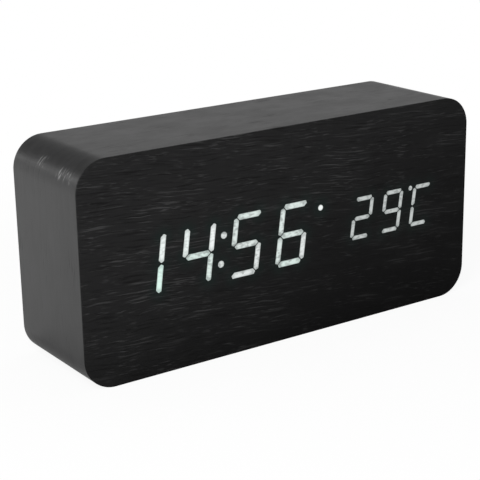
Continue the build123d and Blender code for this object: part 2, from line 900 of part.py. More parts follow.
def make_rear_cover():
    """The moulded cover: plate, battery well, bosses for the board and holes for what reaches through."""
    cover = slab(panel(cover_width, cover_height, cover_corner_radius - cover_gap), cover_back, cover_face)
    cover = chamfer(cover.faces().sort_by(Axis.Y)[-1].edges(), cover_edge_chamfer)
    well = panel(well_outer_width, well_outer_height, well_corner_radius, well_x)
    cover = cover + slab(well, well_bottom, cover_back)
    for x, z in board_screw_places():
        cover = cover + slab(Pos(x, z) * Circle(boss_diameter / 2), main_board_rear, cover_back)
    mouth = Pos(well_x, middle_z) * Rectangle(well_width, well_height)
    cover = cover - slab(mouth, well_floor, cover_face + overrun)
    recess = Pos(well_x, middle_z) * Rectangle(door_width + 2 * door_gap, door_top - door_low + 2 * door_gap)
    cover = cover - slab(recess, door_seat, cover_face + overrun)
    socket_length_x = door_width + 2 * (hinge_pin_length + door_gap)
    socket = Rot(0, 90, 0) * Cylinder(hinge_pin_diameter / 2 + hinge_clearance, socket_length_x)
    cover = cover - Pos(well_x, hinge_y, hinge_z) * socket
    for pocket in latch_hooks(latch_clearance, latch_hook_height + latch_clearance, latch_hook_thickness):
        cover = cover - pocket
    notch = Pos(well_x, cover_face, door_top) * Cylinder(finger_notch_radius, 2 * finger_notch_depth,
                                                         rotation=(90, 0, 0))
    cover = cover - notch
    holes = cover_slots() + contact_tab_slots()
    for x in key_xs:
        holes.append(Pos(x, key_z) * Circle(button_diameter / 2 + button_clearance))
    holes.append(Pos(jack_x, jack_z) * Circle(jack_nose_diameter / 2 + jack_nose_gap))
    cover = cover - slab(Sketch() + holes, well_bottom - overrun, cover_face + overrun)
    shanks = round_holes(cover_screw_places(), cover_screw_diameter + screw_clearance,
                         cover_back - overrun, cover_face)
    sink = Cone(cover_screw_diameter / 2, cover_screw_head_diameter / 2, cover_screw_sink)
    for x, z in cover_screw_places():
        cover = cover - facing_rear(x, cover_face - cover_screw_sink / 2, z) * sink
    pilot_back = main_board_front + board_screw_length
    pilots = round_holes(board_screw_places(), board_screw_diameter, main_board_rear, pilot_back)
    return cover - shanks - pilots


# Battery door


def make_battery_door():
    """The door with its round lower edge, hinge pins, sprung tongue, hooks and grip lines."""
    leaf = Pos(well_x, (hinge_z + door_top) / 2) * Rectangle(door_width, door_top - hinge_z)
    door = slab(leaf, door_inner, cover_face)
    edge = Rot(0, 90, 0) * Cylinder(door_thickness / 2, door_width)
    pins = Rot(0, 90, 0) * Cylinder(hinge_pin_diameter / 2, door_width + 2 * hinge_pin_length)
    door = door + Pos(well_x, hinge_y, hinge_z) * edge + Pos(well_x, hinge_y, hinge_z) * pins
    for side in (-1, 1):
        x = well_x + side * (latch_width + latch_slit) / 2
        slit = Pos(x, door_top - (latch_length - overrun) / 2) * Rectangle(latch_slit, latch_length + overrun)
        door = door - slab(slit, door_inner - overrun, cover_face + overrun)
    for hook in latch_hooks(0.0, latch_hook_height, latch_hook_thickness):
        door = door + hook
    for index in range(grip_count):
        z = door_top - grip_from_top - (index + 0.5) * grip_pitch
        groove = Pos(well_x, z) * SlotOverall(grip_length, grip_width)
        door = door - slab(groove, cover_face - grip_depth, cover_face + overrun)
    return door


# Cells and contacts


def make_cell(index):
    """One cell, lying along X, with its nub to the left or, on the middle one, to the right."""
    body_length = cell_length - cell_nub_height
    body = rod_on(cell_diameter, body_length)
    body = chamfer(body.edges().group_by(Axis.Z)[-1], cell_shoulder)
    body = fillet(body.edges().group_by(Axis.Z)[0], cell_base_radius)
    base = rod_on(cell_diameter - 2 * cell_base_rim, cell_base_recess + overrun, foot=-overrun)
    nub = rod_on(cell_nub_diameter, cell_nub_height, foot=body_length)
    nub = fillet(nub.edges().group_by(Axis.Z)[-1], cell_nub_radius)
    cell = body - base + nub
    toward_left = index != 1
    nub_face = well_x - cell_room / 2 + dimple_height + contact_seat
    if toward_left:
        return Pos(nub_face + cell_length, cell_y, cell_zs[index]) * Rot(0, -90, 0) * cell
    return Pos(2 * well_x - nub_face - cell_length, cell_y, cell_zs[index]) * Rot(0, 90, 0) * cell


def contact_plate(low_z, high_z, tab_z=None):
    """A springy plate that stands in the well, drawn against the plane X = 0 and reaching to the left."""
    height = high_z - low_z
    front = well_floor + well_floor_gap
    middle = (low_z + high_z) / 2
    plate = Pos(-contact_thickness / 2, front + contact_height / 2, middle)
    plate = plate * Box(contact_thickness, contact_height, height)
    if tab_z is not None:
        length = front - well_bottom + contact_tab_length
        tab = Box(contact_thickness, length, contact_tab_width)
        plate = plate + Pos(-contact_thickness / 2, front - length / 2, tab_z) * tab
    return plate


def dimple(z):
    """The raised button that a cell's nub presses on."""
    cone = Cone(dimple_diameter / 2, dimple_top_diameter / 2, dimple_height)
    return Pos(dimple_height / 2, cell_y, z) * Rot(0, 90, 0) * cone


def biarc(start, start_way, end, end_way):
    """Two arcs that leave one point in its direction and reach the next in its own."""
    chord = end - start
    ways = start_way + end_way
    along = chord.dot(ways)
    spread = 2 * (1 - start_way.dot(end_way))
    reach = (math.sqrt(along * along + spread * chord.dot(chord)) - along) / spread
    first = start + start_way * reach
    second = end - end_way * reach
    middle = (first + second) * 0.5
    middle_way = (second - first).normalized()
    return [TangentArc(start, middle, tangent=start_way), TangentArc(middle, end, tangent=middle_way)]


def spring_station(share):
    """A point of the spring's tapering helix and the way its wire runs there, by the share of the climb."""
    low = spring_wire + spring_bend
    climb = spring_length - 2 * low
    turned = spring_turns * 2 * math.pi
    angle = share * turned
    draw = (spring_tip_diameter - spring_base_diameter) / 2
    radius = (spring_base_diameter - spring_wire) / 2 + share * draw
    out = Vector(math.cos(angle), math.sin(angle), 0)
    round_way = Vector(-math.sin(angle), math.cos(angle), 0)
    way = (out * draw + round_way * radius * turned + Vector(0, 0, climb)).normalized()
    return out * radius + Vector(0, 0, low + share * climb), way, round_way


def spring_path():
    """The wire's line: straight off the plate, round its turns and straight into the cell."""
    up = Vector(0, 0, 1)
    quarters = round(spring_turns * 4)
    turns = [spring_station(quarter / quarters) for quarter in range(quarters + 1)]
    first, first_round = turns[0][0], turns[0][2]
    last, last_round = turns[-1][0], turns[-1][2]
    foot = first - (first_round + up) * spring_bend
    top = last + (last_round + up) * spring_bend
    stations = [(foot, up)] + [(point, way) for point, way, around in turns] + [(top, up)]
    lines = [Line(foot - up * spring_wire, foot)]
    for (start, start_way), (end, end_way) in zip(stations, stations[1:]):
        lines += biarc(start, start_way, end, end_way)
    lines.append(Line(top, top + up * spring_wire))
    return lines


def print_spring_gap(lines):
    """Prints the least gap between turns of the spring's wire, measured on points along it."""
    steps = 12
    half_turn = 2 * 2 * steps
    points = [line @ (step / steps) for line in lines for step in range(steps)]
    gaps = [(points[i] - points[j]).length - spring_wire
            for i in range(len(points)) for j in range(i + half_turn, len(points))]
    print("least gap between the spring's turns", round(min(gaps), 3))


def coil_spring():
    """A tapering battery spring that stands on Z, as one unbroken wire."""
    lines = spring_path()
    print_spring_gap(lines)
    wire = Wire(lines)
    section = Plane(origin=wire @ 0, z_dir=wire % 0) * Circle(spring_wire / 2)
    return sweep(section, path=wire)


def at_left_end(solid):
    """A contact drawn against the plane X = 0, moved to the well's left end."""
    return Pos(well_x - cell_room / 2, 0, 0) * solid


def at_right_end(solid):
    """The same contact turned to face the other way at the well's right end."""
    turned = Pos(0, cell_y, middle_z) * Rot(0, 180, 0) * Pos(0, -cell_y, -middle_z) * solid
    return Pos(well_x + cell_room / 2, 0, 0) * turned


def spring_at(spring, z):
    """A spring laid along X on a contact."""
    return Pos(0, cell_y, z) * Rot(0, 90, 0) * spring


def make_positive_contact():
    """The end plate that the first cell's nub presses on."""
    z = cell_zs[0]
    plate = contact_plate(z - contact_width / 2, z + contact_width / 2, z)
    return at_left_end(plate + dimple(z))


def make_left_bridge(spring):
    """The plate that joins the middle cell's base to the last cell's nub."""
    plate = contact_plate(cell_zs[2] - contact_width / 2, cell_zs[1] + contact_width / 2)
    return at_left_end(plate + dimple(cell_zs[2]) + spring_at(spring, cell_zs[1]))


def make_right_bridge(spring):
    """The plate that joins the first cell's base to the middle cell's nub, drawn turned about the middle."""
    low = 2 * middle_z - cell_zs[0]
    plate = contact_plate(low - contact_width / 2, middle_z + contact_width / 2)
    return at_right_end(plate + dimple(middle_z) + spring_at(spring, low))


def make_negative_contact(spring):
    """The end plate with the last cell's spring, drawn turned about the middle."""
    z = 2 * middle_z - cell_zs[2]
    plate = contact_plate(z - contact_width / 2, z + contact_width / 2, z)
    return at_right_end(plate + spring_at(spring, z))


# Leads and ribbon


def lead(name, start, points):
    """A round lead, straight to the left off its contact, with each bend as wide as its runs allow."""
    away = Vector(*start) - Vector(lead_first_run, 0, 0)
    points = [Vector(*start), away] + [Vector(*point) for point in points]
    radii = []
    for before, corner, after in zip(points, points[1:], points[2:]):
        turn = math.radians((corner - before).get_angle(after - corner))
        shorter = min((corner - before).length, (after - corner).length)
        radii.append(lead_bend_share * shorter / math.tan(turn / 2))
    print(name, "bend radii", [round(radius, 2) for radius in radii])
    path = FilletPolyline(*points, radius=radii)
    section = Plane(origin=path @ 0, z_dir=path % 0) * Circle(lead_diameter / 2)
    tube = sweep(section, path=path)
    expected = math.pi * lead_diameter ** 2 / 4 * path.length
    print(name, "volume over section times length", round(tube.volume / expected, 5))
    return tube


def make_red_lead():
    start = (well_x - cell_room / 2 - contact_thickness, well_bottom - lead_diameter, cell_zs[0])
    return lead("red_lead", start, red_lead_points)


def make_black_lead():
    start = (well_x + cell_room / 2, well_bottom - lead_diameter, cell_zs[2])
    return lead("black_lead", start, black_lead_points)


def make_ribbon_sockets():
    """The two sockets, one on the back of the display's board and one on the front of the main board."""
    block = box_on(socket_depth, socket_length, socket_height)
    block = chamfer(block.edges().group_by(Axis.Z)[-1], ribbon_thickness / 2)
    display_socket = facing_rear(ribbon_display_x, display_board_rear, middle_z) * block
    main_socket = facing_front(ribbon_main_x, main_board_front, middle_z) * block
    return Compound([display_socket, main_socket])


def make_display_ribbon():
    """A flat cable in two bends from one socket to the other."""
    half_way = (socket_face_y + main_socket_face_y) / 2
    points = [
        (ribbon_display_x, socket_face_y, middle_z),
        (ribbon_display_x, half_way, middle_z),
        (ribbon_main_x, half_way, middle_z),
        (ribbon_main_x, main_socket_face_y, middle_z),
    ]
    radius = ribbon_bend_share * (main_socket_face_y - socket_face_y) / 2
    path = FilletPolyline(*points, radius=radius)
    start = Plane(origin=path @ 0, x_dir=(0, 0, 1), z_dir=path % 0)
    return sweep(start * Rectangle(ribbon_width, ribbon_thickness), path=path)


# The whole clock


def make_parts():
    """Every sub-part by its name."""
    spring = coil_spring()
    parts = {
        "case_core": make_case_core(),
        "front_film": make_front_film(),
        "side_wrap": make_side_wrap(),
        "rear_film": make_rear_film(),
        "display_housing": make_display_housing(),
        "time_diffusers": make_diffusers(time_windows()),
        "temperature_diffusers": make_diffusers(temperature_windows()),
        "display_board": make_display_board(),
        "display_gasket": make_display_gasket(),
        "display_screws": make_display_screws(),
        "display_driver": make_display_driver(),
        "led_chips": make_led_chips(),
        "main_board": make_main_board(),
        "microcontroller": make_microcontroller(),
        "crystal": make_crystal(),
        "capacitor": make_capacitor(),
        "surface_parts": make_surface_parts(),
        "buzzer": make_buzzer(),
        "microphone": make_microphone(),
        "thermistor": make_thermistor(),
        "dc_jack": make_dc_jack(),
        "dc_jack_pin": make_dc_jack_pin(),
        "board_screws": make_board_screws(),
        "ribbon_sockets": make_ribbon_sockets(),
        "display_ribbon": make_display_ribbon(),
        "rear_cover": make_rear_cover(),
        "cover_screws": make_cover_screws(),
        "battery_door": make_battery_door(),
        "positive_contact": make_positive_contact(),
        "negative_contact": make_negative_contact(spring),
        "left_bridge": make_left_bridge(spring),
        "right_bridge": make_right_bridge(spring),
        "red_lead": make_red_lead(),
        "black_lead": make_black_lead(),
    }
    for index, name in enumerate(("top_cell", "middle_cell", "bottom_cell")):
        parts[name] = make_cell(index)
    for name, faces in lit_groups().items():
        parts[name] = slab(Sketch() + faces, front_y, core_front)
    for name, x in zip(key_names, key_xs):
        parts[name + "_button"] = make_button(name, x)
        parts[name + "_plunger"] = make_plunger(x)
        parts[name + "_switch"] = make_switch(x)
    return parts


os.makedirs("parts", exist_ok=True)
for node, shape in make_parts().items():
    export_step(shape, "parts/" + node + ".step")
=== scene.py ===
import math

import bpy
import numpy as np
from mathutils import Matrix, Vector


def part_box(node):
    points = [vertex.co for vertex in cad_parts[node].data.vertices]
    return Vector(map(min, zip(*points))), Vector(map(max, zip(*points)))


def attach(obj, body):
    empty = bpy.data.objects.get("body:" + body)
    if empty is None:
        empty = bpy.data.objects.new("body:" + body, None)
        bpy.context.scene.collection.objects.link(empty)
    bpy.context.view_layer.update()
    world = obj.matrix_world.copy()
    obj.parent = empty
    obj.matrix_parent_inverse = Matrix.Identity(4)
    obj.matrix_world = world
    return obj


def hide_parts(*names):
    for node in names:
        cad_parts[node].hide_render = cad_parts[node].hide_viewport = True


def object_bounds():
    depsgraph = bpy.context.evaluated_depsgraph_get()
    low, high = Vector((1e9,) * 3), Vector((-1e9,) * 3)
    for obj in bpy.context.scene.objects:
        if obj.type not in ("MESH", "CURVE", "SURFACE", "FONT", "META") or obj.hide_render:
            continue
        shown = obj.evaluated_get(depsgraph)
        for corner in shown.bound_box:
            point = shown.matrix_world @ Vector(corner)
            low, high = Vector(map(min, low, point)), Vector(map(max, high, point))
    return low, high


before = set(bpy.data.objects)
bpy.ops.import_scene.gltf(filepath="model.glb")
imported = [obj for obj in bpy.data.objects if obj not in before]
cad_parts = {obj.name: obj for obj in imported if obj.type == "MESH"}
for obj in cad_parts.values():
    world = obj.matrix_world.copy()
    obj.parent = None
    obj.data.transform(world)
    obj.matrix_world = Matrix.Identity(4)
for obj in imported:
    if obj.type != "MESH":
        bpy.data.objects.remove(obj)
cad_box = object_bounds()
low, high = cad_box
mm = 0.001

# Case, by the frame
front_y = low.y
rear_y = high.y
middle_z = (low.z + high.z) / 2
case_width = high.x - low.x
case_height = high.z - low.z
case_depth = high.y - low.y
core_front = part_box("front_film")[1].y
core_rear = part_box("rear_film")[0].y
wrap_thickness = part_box("rear_film")[0].x - low.x

# Case, by its own sizes
corner_radius = 10 * mm
film_edge = 0.12 * mm
film_edge_steps = 4
edge_margin = 0.06 * mm
face_step = 0.5 * mm
corner_rows = 22
corner_steps = 20
wrap_step = 1.6 * mm
seam_x = 22 * mm
seam_half_width = 0.10 * mm
seam_depth = 0.07 * mm
face_half_height = case_height / 2 - film_edge - edge_margin
face_radius = corner_radius - film_edge - edge_margin
side_steps = (round(case_width / wrap_step), round(case_height / wrap_step))
rear_opening_width = 138.6 * mm
rear_opening_height = 58.6 * mm
rear_opening_radius = 3.3 * mm

# Scuffs, on the left side only: their lean, where they start along X, and the middle and half length of each patch
# along Y, then along Z
scuff_lean = math.radians(-14)
scuff_start_x = -60 * mm
scuff_full_x = -62 * mm
scuff_patches = [(3.6 * mm, 2.6 * mm, 65.6 * mm, 1.3 * mm), (-11.3 * mm, 4.3 * mm, 64.5 * mm, 1.6 * mm)]

# Figures
digit_slant = math.radians(8)
time_height = 20.3 * mm
time_width = 11.2 * mm
time_pitch = 17.8 * mm
time_bar = 1.85 * mm
time_x = -25.95 * mm
small_height = 14.2 * mm
small_width = 8.3 * mm
small_pitch = 12.7 * mm
small_bar = 1.4 * mm
small_x = 41.95 * mm
small_rise = 0.2 * mm
bar_gap = 0.3 * mm
bar_corner = 0.3 * mm
bar_corner_steps = 5
outer_trim_share = 0.24
colon_diameter = 2.2 * mm
colon_rise = 4.53 * mm
marker_diameter = 1.9 * mm
marker_offset = 10.35 * mm
marker_rise = 6.6 * mm
degree_diameter = 1.6 * mm
degree_offset = -5.5 * mm
degree_rise = 6.4 * mm
dot_steps = 40
figure_proud = 0.015 * mm
film_face_y = front_y + figure_proud
tile_thickness = 0.10 * mm
tile_shares = np.array([0.3, 0.55, 0.75, 0.9, 0.97, 1.0])
halo_reach = 2.4 * mm
halo_lost_when_dim = 0.7

# Lit bars of each digit, and how much mint is in a bar's white, by digit and letter
hour_bars = ["bc", "bcfg"]
minute_bars = ["acdfg", "acdefg"]
temperature_bars = ["abdeg", "abcdfg"]
celsius_bars = ["adef"]
hour_mint = {(0, "b"): 0.1, (0, "c"): 0.9, (1, "c"): 0.5, (1, "g"): 0.6, (1, "f"): 0.15}
minute_mint = {(0, "a"): 0.35, (0, "f"): 0.3, (0, "g"): 0.2, (1, "a"): 0.3, (1, "d"): 0.6, (1, "e"): 0.35,
               (1, "f"): 0.3, (1, "g"): 0.4}

# How far each group is dimmed, with the bars that are dimmer than the rest of theirs
group_dimming = {"lit_hours": 0.06, "lit_colon": 0.34, "lit_minutes": 0.26, "lit_marker": 0.0,
                 "lit_temperature": 0.68, "lit_celsius": 0.68}
bar_dimming = {("lit_hours", 1): 0.0, ("lit_hours", 3): 0.22, ("lit_hours", 5): 0.22, ("lit_celsius", 4): 0.50}

# Ribbon cable
ribbon_wires = 10

# Grain of the front and back films, and the painted shade that darkens the front along X less a share of Z, toward
# its lower right
grain_sway = 4.5 * mm
grain_ripple = 0.9 * mm
grain_fall = 0.07
grain_relief = 0.03 * mm
# Painted shade on the front: how fast it deepens against Z, and where it starts and ends along that slope
painted_shade_rise = 2.3
painted_shade_start = -173 * mm
painted_shade_end = 54 * mm

# Colours of the films, with the front's under its deepest painted shade, and of the light through it
front_black = (0.0124, 0.0124, 0.0126)
front_painted_shade_black = (0.0033, 0.0033, 0.0034)
front_fleck = (0.039, 0.039, 0.0394)
front_painted_shade_fleck = (0.0136, 0.0136, 0.0138)
# Dark colour of the pores on the front and the back: painted shadow under the flecks
front_pore_shadow = (0.0040, 0.0040, 0.0040)
front_leak = (0.0085, 0.0150, 0.0135)
rear_black = (0.016, 0.016, 0.0165)
rear_fleck = (0.055, 0.055, 0.056)
rear_pore_shadow = (0.007, 0.007, 0.007)
side_charcoal = (0.0148, 0.0148, 0.0150)
side_streak = (0.0214, 0.0214, 0.0217)
scuff_pale = (0.13, 0.13, 0.13)
glow_white = (0.89, 0.935, 0.92)
glow_mint = (0.70, 0.93, 0.84)
glow_dim = (0.365, 0.385, 0.38)
glow_speck = (0.26, 0.28, 0.275)
glow_rim = (0.16, 0.19, 0.18)

# Studio
room_level = 0.36
room_edge_low = -0.10
room_edge_high = 0.52
room_overhead = 0.16
room_corner_way = (0.894, 0.447, 0.0)
room_corner_start = 0.78
room_corner_end = 0.93
room_corner_level = 0.885
floor_half_width = 3.0
floor_lines = 13
lamps = [
    # name, place in metres, size in metres, watts
    ("key_lamp", (-0.30, -0.26, 0.36), 0.20, 2.3),
    ("top_lamp", (0.12, 0.12, 0.62), 0.45, 0.75),
    ("back_left_lamp", (-0.80, 1.05, 0.42), 0.28, 0.8),
    ("right_lamp", (0.80, 0.26, 0.44), 0.50, 0.7),
]

# Camera, as the photograph's edges give it
camera_place = (-248.16 * mm, -352.09 * mm, 163.56 * mm)
camera_heading = math.radians(34.56)
camera_pitch = math.radians(-17.44)
camera_roll = math.radians(-1.01)
camera_lens = 103.03
camera_sensor = 36.0


# Mesh making


def put_mesh(name, points, faces, smooth=True):
    """A mesh object from an array of points and a list of faces given by point number."""
    mesh = bpy.data.meshes.new(name)
    mesh.from_pydata(points.tolist(), [], faces)
    mesh.update()
    mesh.polygons.foreach_set("use_smooth", np.full(len(mesh.polygons), smooth))
    piece = bpy.data.objects.new(name, mesh)
    bpy.context.scene.collection.objects.link(piece)
    return piece


def grid_faces(rows, columns, close_rows=False, close_columns=False):
    """The four-cornered faces of a grid of points counted row by row, closed on itself where asked."""
    number = np.arange(rows * columns).reshape(rows, columns)
    if close_rows:
        number = np.vstack([number, number[:1]])
    if close_columns:
        number = np.hstack([number, number[:, :1]])
    faces = np.stack([number[:-1, :-1], number[:-1, 1:], number[1:, 1:], number[1:, :-1]], axis=-1)
    return faces.reshape(-1, 4)


def give_values(piece, name, values):
    """A named number on each point of a piece, for its material to read."""
    attribute = piece.data.attributes.new(name, "FLOAT", "POINT")
    attribute.data.foreach_set("value", np.asarray(values, np.float32))


def round_corner_loop(width, height, radius):
    """Points in X and Z round a rectangle with round corners about the case's middle: a quarter circle at each
    corner, at corner centre plus radius times (cosine, sine), with the straight runs between them in even steps.
    It starts at the left end of the underside and goes round to the right, up and back."""
    quarter = np.linspace(0, math.pi / 2, corner_steps)
    half = np.array([width / 2 - radius, height / 2 - radius])
    corners = []
    for index, signs in enumerate(((-1, -1), (1, -1), (1, 1), (-1, 1))):
        angle = quarter + math.pi + index * math.pi / 2
        arc = half * signs + radius * np.stack([np.cos(angle), np.sin(angle)], axis=-1)
        corners.append(arc)
    pieces = []
    for index, arc in enumerate(corners):
        following = corners[(index + 1) % 4][0]
        steps = side_steps[index % 2]
        share = np.linspace(0, 1, steps + 1)[1:-1, None]
        pieces += [arc, arc[-1] * (1 - share) + following * share]
    loop = np.concatenate(pieces)
    return loop + np.array([0, middle_z])


def banded(loops, depths):
    """Points of a band from loops in X and Z, each set at its own depth in Y."""
    return np.concatenate([np.insert(loop, 1, depth, axis=1) for loop, depth in zip(loops, depths)])


def rolled_edge():
    """A quarter roll as shares of its radius, from flush with a face to flush with a side: sine, one minus
    cosine of even angles."""
    angle = np.linspace(0, math.pi / 2, film_edge_steps + 1)
    return np.sin(angle), 1 - np.cos(angle)


# Figures


def bar_corners(half_length, width, outer_side):
    """A bar along X as six corners: points at both ends, and an edge that is longer on its outer side."""
    half = width / 2
    inner = half_length - half
    outer = half_length - width * outer_trim_share
    upper = outer if outer_side > 0 else inner
    lower = outer if outer_side < 0 else inner
    return np.array([(-half_length, 0), (-upper, half), (upper, half), (half_length, 0), (lower, -half),
                     (-lower, -half)])


def digit_bar(letter, height, width, bar):
    """One bar of an upright digit about the digit's middle: a, g and d lie flat, the others stand."""
    span = width - bar
    rise = (height - bar) / 2
    setback = bar_gap / math.sqrt(2)
    if letter in "adg":
        side = {"a": 1, "g": 0, "d": -1}[letter]
        return bar_corners(span / 2 - setback, bar, side) + (0, side * rise)
    side = 1 if letter in "bc" else -1
    up = 1 if letter in "bf" else -1
    flat = bar_corners(rise / 2 - setback, bar, -side * up)
    return np.stack([-flat[:, 1], flat[:, 0]], axis=-1) * up + (side * span / 2, up * rise / 2)


def leaned(points, x, z):
    """Points leaned to the right by the slant, X plus Z times its tangent, and moved to their place."""
    points = np.atleast_2d(points)
    return np.stack([x + points[:, 0] + points[:, 1] * math.tan(digit_slant), z + points[:, 1]], axis=-1)


def rounded(corners, radius):
    """A convex outline with its corners turned into arcs: at each corner the arc's centre lies one radius inside
    both edges, and its points turn evenly from one edge's outward way to the next's."""
    area = np.sum(corners[:, 0] * np.roll(corners[:, 1], -1) - corners[:, 1] * np.roll(corners[:, 0], -1))
    if area < 0:
        corners = corners[::-1]
    before = corners - np.roll(corners, 1, axis=0)
    after = np.roll(corners, -1, axis=0) - corners
    before /= np.linalg.norm(before, axis=1)[:, None]
    after /= np.linalg.norm(after, axis=1)[:, None]
    first = np.arctan2(-before[:, 0], before[:, 1])
    turn = np.arctan2(before[:, 0] * after[:, 1] - before[:, 1] * after[:, 0], np.sum(before * after, axis=1))
    inward = np.stack([-before[:, 1], before[:, 0]], axis=-1)
    centre = corners - before * (radius * np.tan(turn / 2))[:, None] + inward * radius
    angle = first[:, None] + turn[:, None] * np.linspace(0, 1, bar_corner_steps)
    arcs = centre[:, None] + radius * np.stack([np.cos(angle), np.sin(angle)], axis=-1)
    return arcs.reshape(-1, 2)


def disc(diameter, centre):
    """A circle's points: centre plus radius times (cosine, sine)."""
    angle = np.linspace(0, 2 * math.pi, dot_steps, endpoint=False)
    return centre + diameter / 2 * np.stack([np.cos(angle), np.sin(angle)], axis=-1)


def digit_tiles(bars, first_place, count, mints, middle_x, pitch, z, height, width, bar):
    """The outlines of some digits' lit bars, each with its share of mint."""
    tiles = []
    for index, letters in enumerate(bars):
        x = middle_x + (first_place + index - (count - 1) / 2) * pitch
        for letter in letters:
            outline = rounded(leaned(digit_bar(letter, height, width, bar), x, z), bar_corner)
            tiles.append((outline, mints.get((index, letter), 0.0)))
    return tiles


def time_tiles(bars, first_place, mints):
    """Lit bars among the time's four digits."""
    return digit_tiles(bars, first_place, 4, mints, time_x, time_pitch, middle_z, time_height, time_width,
                       time_bar)


def small_tiles(bars, first_place):
    """Lit bars among the temperature's three digits."""
    return digit_tiles(bars, first_place, 3, {}, small_x, small_pitch, middle_z + small_rise, small_height,
                       small_width, small_bar)


def dot_tile(diameter, offset, rise, x, z):
    """A round dot beside a digit."""
    return disc(diameter, leaned((offset, rise), x, z)[0]), 0.0


lit_tiles = {
    "lit_hours": time_tiles(hour_bars, 0, hour_mint),
    "lit_colon": [dot_tile(colon_diameter, 0, rise, time_x, middle_z) for rise in (colon_rise, -colon_rise)],
    "lit_minutes": time_tiles(minute_bars, 2, minute_mint),
    "lit_marker": [dot_tile(marker_diameter, marker_offset, marker_rise, time_x + 1.5 * time_pitch, middle_z)],
    "lit_temperature": small_tiles(temperature_bars, 0),
    "lit_celsius": small_tiles(celsius_bars, 2) + [
        dot_tile(degree_diameter, degree_offset, degree_rise, small_x + small_pitch, middle_z + small_rise)],
}


def tile_mesh(outline):
    """A flat tile: its outline shrunk to its middle in shares, with a fan of triangles at the middle, a rim that
    goes back into the film and a flat back. Returns points, faces and each point's share of the way out."""
    count = len(outline)
    middle = outline.mean(axis=0)
    rings = middle + (outline - middle) * tile_shares[:, None, None]
    rings = np.concatenate([rings, outline[None]])
    depths = np.full(len(rings), front_y)
    depths[-1] += tile_thickness
    points = np.concatenate([[[middle[0], front_y, middle[1]]], banded(rings, depths)])
    order = np.arange(count)
    fan = np.stack([np.zeros(count, int), order + 1, (order + 1) % count + 1], axis=-1)
    bands = grid_faces(len(rings), count, close_columns=True)[:, ::-1] + 1
    back = (len(points) - 1 - order).tolist()
    reach = np.concatenate([[0], np.repeat(np.append(tile_shares, 1.0), count)])
    return points, fan.tolist() + bands.tolist() + [back], reach


def make_figure(name, tiles):
    """One group of lit bars and dots as a mesh of tiles."""
    points, faces, reaches, mints, dimmings = [], [], [], [], []
    start = 0
    for index, (outline, mint) in enumerate(tiles):
        tile_points, tile_faces, reach = tile_mesh(outline)
        points.append(tile_points)
        faces += [[start + corner for corner in face] for face in tile_faces]
        reaches.append(reach)
        mints.append(np.full(len(reach), mint))
        dimmings.append(np.full(len(reach), bar_dimming.get((name, index), group_dimming[name])))
        start += len(reach)
    piece = put_mesh(name + "_light", np.concatenate(points), faces, smooth=False)
    give_values(piece, "reach", np.concatenate(reaches))
    give_values(piece, "mint", np.concatenate(mints))
    give_values(piece, "dimming", np.concatenate(dimmings))
    return piece


# Films


def face_rows():
    """Heights of the front face's rows: even steps between the corners, and even angles round them."""
    straight = face_half_height - face_radius
    angle = np.linspace(math.pi / 2, 0, corner_rows)[:-1]
    arc = straight + face_radius * np.sin(angle)
    steps = round(2 * straight / face_step)
    return np.concatenate([-arc, np.linspace(-straight, straight, steps + 1), arc[::-1]])


def half_width_at(height):
    """Half the front face's width at a height from its middle: straight, then the corner circle's own width."""
    into_corner = np.clip(np.abs(height) - (face_half_height - face_radius), 0, face_radius)
    return case_width / 2 - corner_radius + np.sqrt(face_radius ** 2 - into_corner ** 2)


def outward(points):
    """The outline's outward way at points on it: away from the nearest point of the corner centres' rectangle."""
    reach = np.array([case_width / 2, case_height / 2]) - corner_radius
    about = points - (0, middle_z)
    away = about - np.clip(about, -reach, reach)
    return away / np.linalg.norm(away, axis=1)[:, None]


def make_front_film():
    """The unbroken film over the front: rows as wide as the outline at their height, a narrow flat margin and a
    rolled edge round them, and a flat back."""
    heights = face_rows()
    columns = round(case_width / face_step) + 1
    x = half_width_at(heights)[:, None] * np.linspace(-1, 1, columns)
    z = np.repeat(heights[:, None] + middle_z, columns, axis=1)
    rows = len(heights)
    face = np.stack([x, np.full_like(x, film_face_y), z], axis=-1)
    number = np.arange(rows * columns).reshape(rows, columns)
    rim = np.concatenate([number[0], number[1:, -1], number[-1, -2::-1], number[-2:0:-1, 0]])
    edge = face.reshape(-1, 3)[rim][:, [0, 2]]
    out, back = rolled_edge()
    loops = [edge + outward(edge) * (edge_margin + film_edge * share) for share in out]
    depths = [film_face_y + film_edge * share for share in back]
    loops.append(loops[-1])
    depths.append(core_front)
    points = np.concatenate([face.reshape(-1, 3), banded(loops, depths)])
    faces = grid_faces(rows, columns).tolist()
    inner = rim
    for index in range(len(loops)):
        outer = rows * columns + index * len(rim) + np.arange(len(rim))
        band = np.stack([inner, outer, np.roll(outer, -1), np.roll(inner, -1)], axis=-1)
        faces += band.tolist()
        inner = outer
    faces.append(inner[::-1].tolist())
    piece = put_mesh("front_grain_sheet", points, faces)
    give_values(piece, "halo", light_halo(points[:, [0, 2]]))
    return piece


def light_halo(points):
    """The light that leaks from lit bars: a bell of the distance from each bar's outline points, less for dim
    groups, and followed for three times its reach."""
    halo = np.zeros(len(points))
    for name, tiles in lit_tiles.items():
        for outline, _ in tiles:
            middle = outline.mean(axis=0)
            reach = np.linalg.norm(outline - middle, axis=1).max() + 3 * halo_reach
            close = np.flatnonzero(np.linalg.norm(points - middle, axis=1) < reach)
            gaps = np.linalg.norm(points[close, None] - outline[None], axis=2).min(axis=1)
            leak = (1 - halo_lost_when_dim * group_dimming[name]) * np.exp(-(gaps / halo_reach) ** 2)
            halo[close] = np.maximum(halo[close], leak)
    return halo


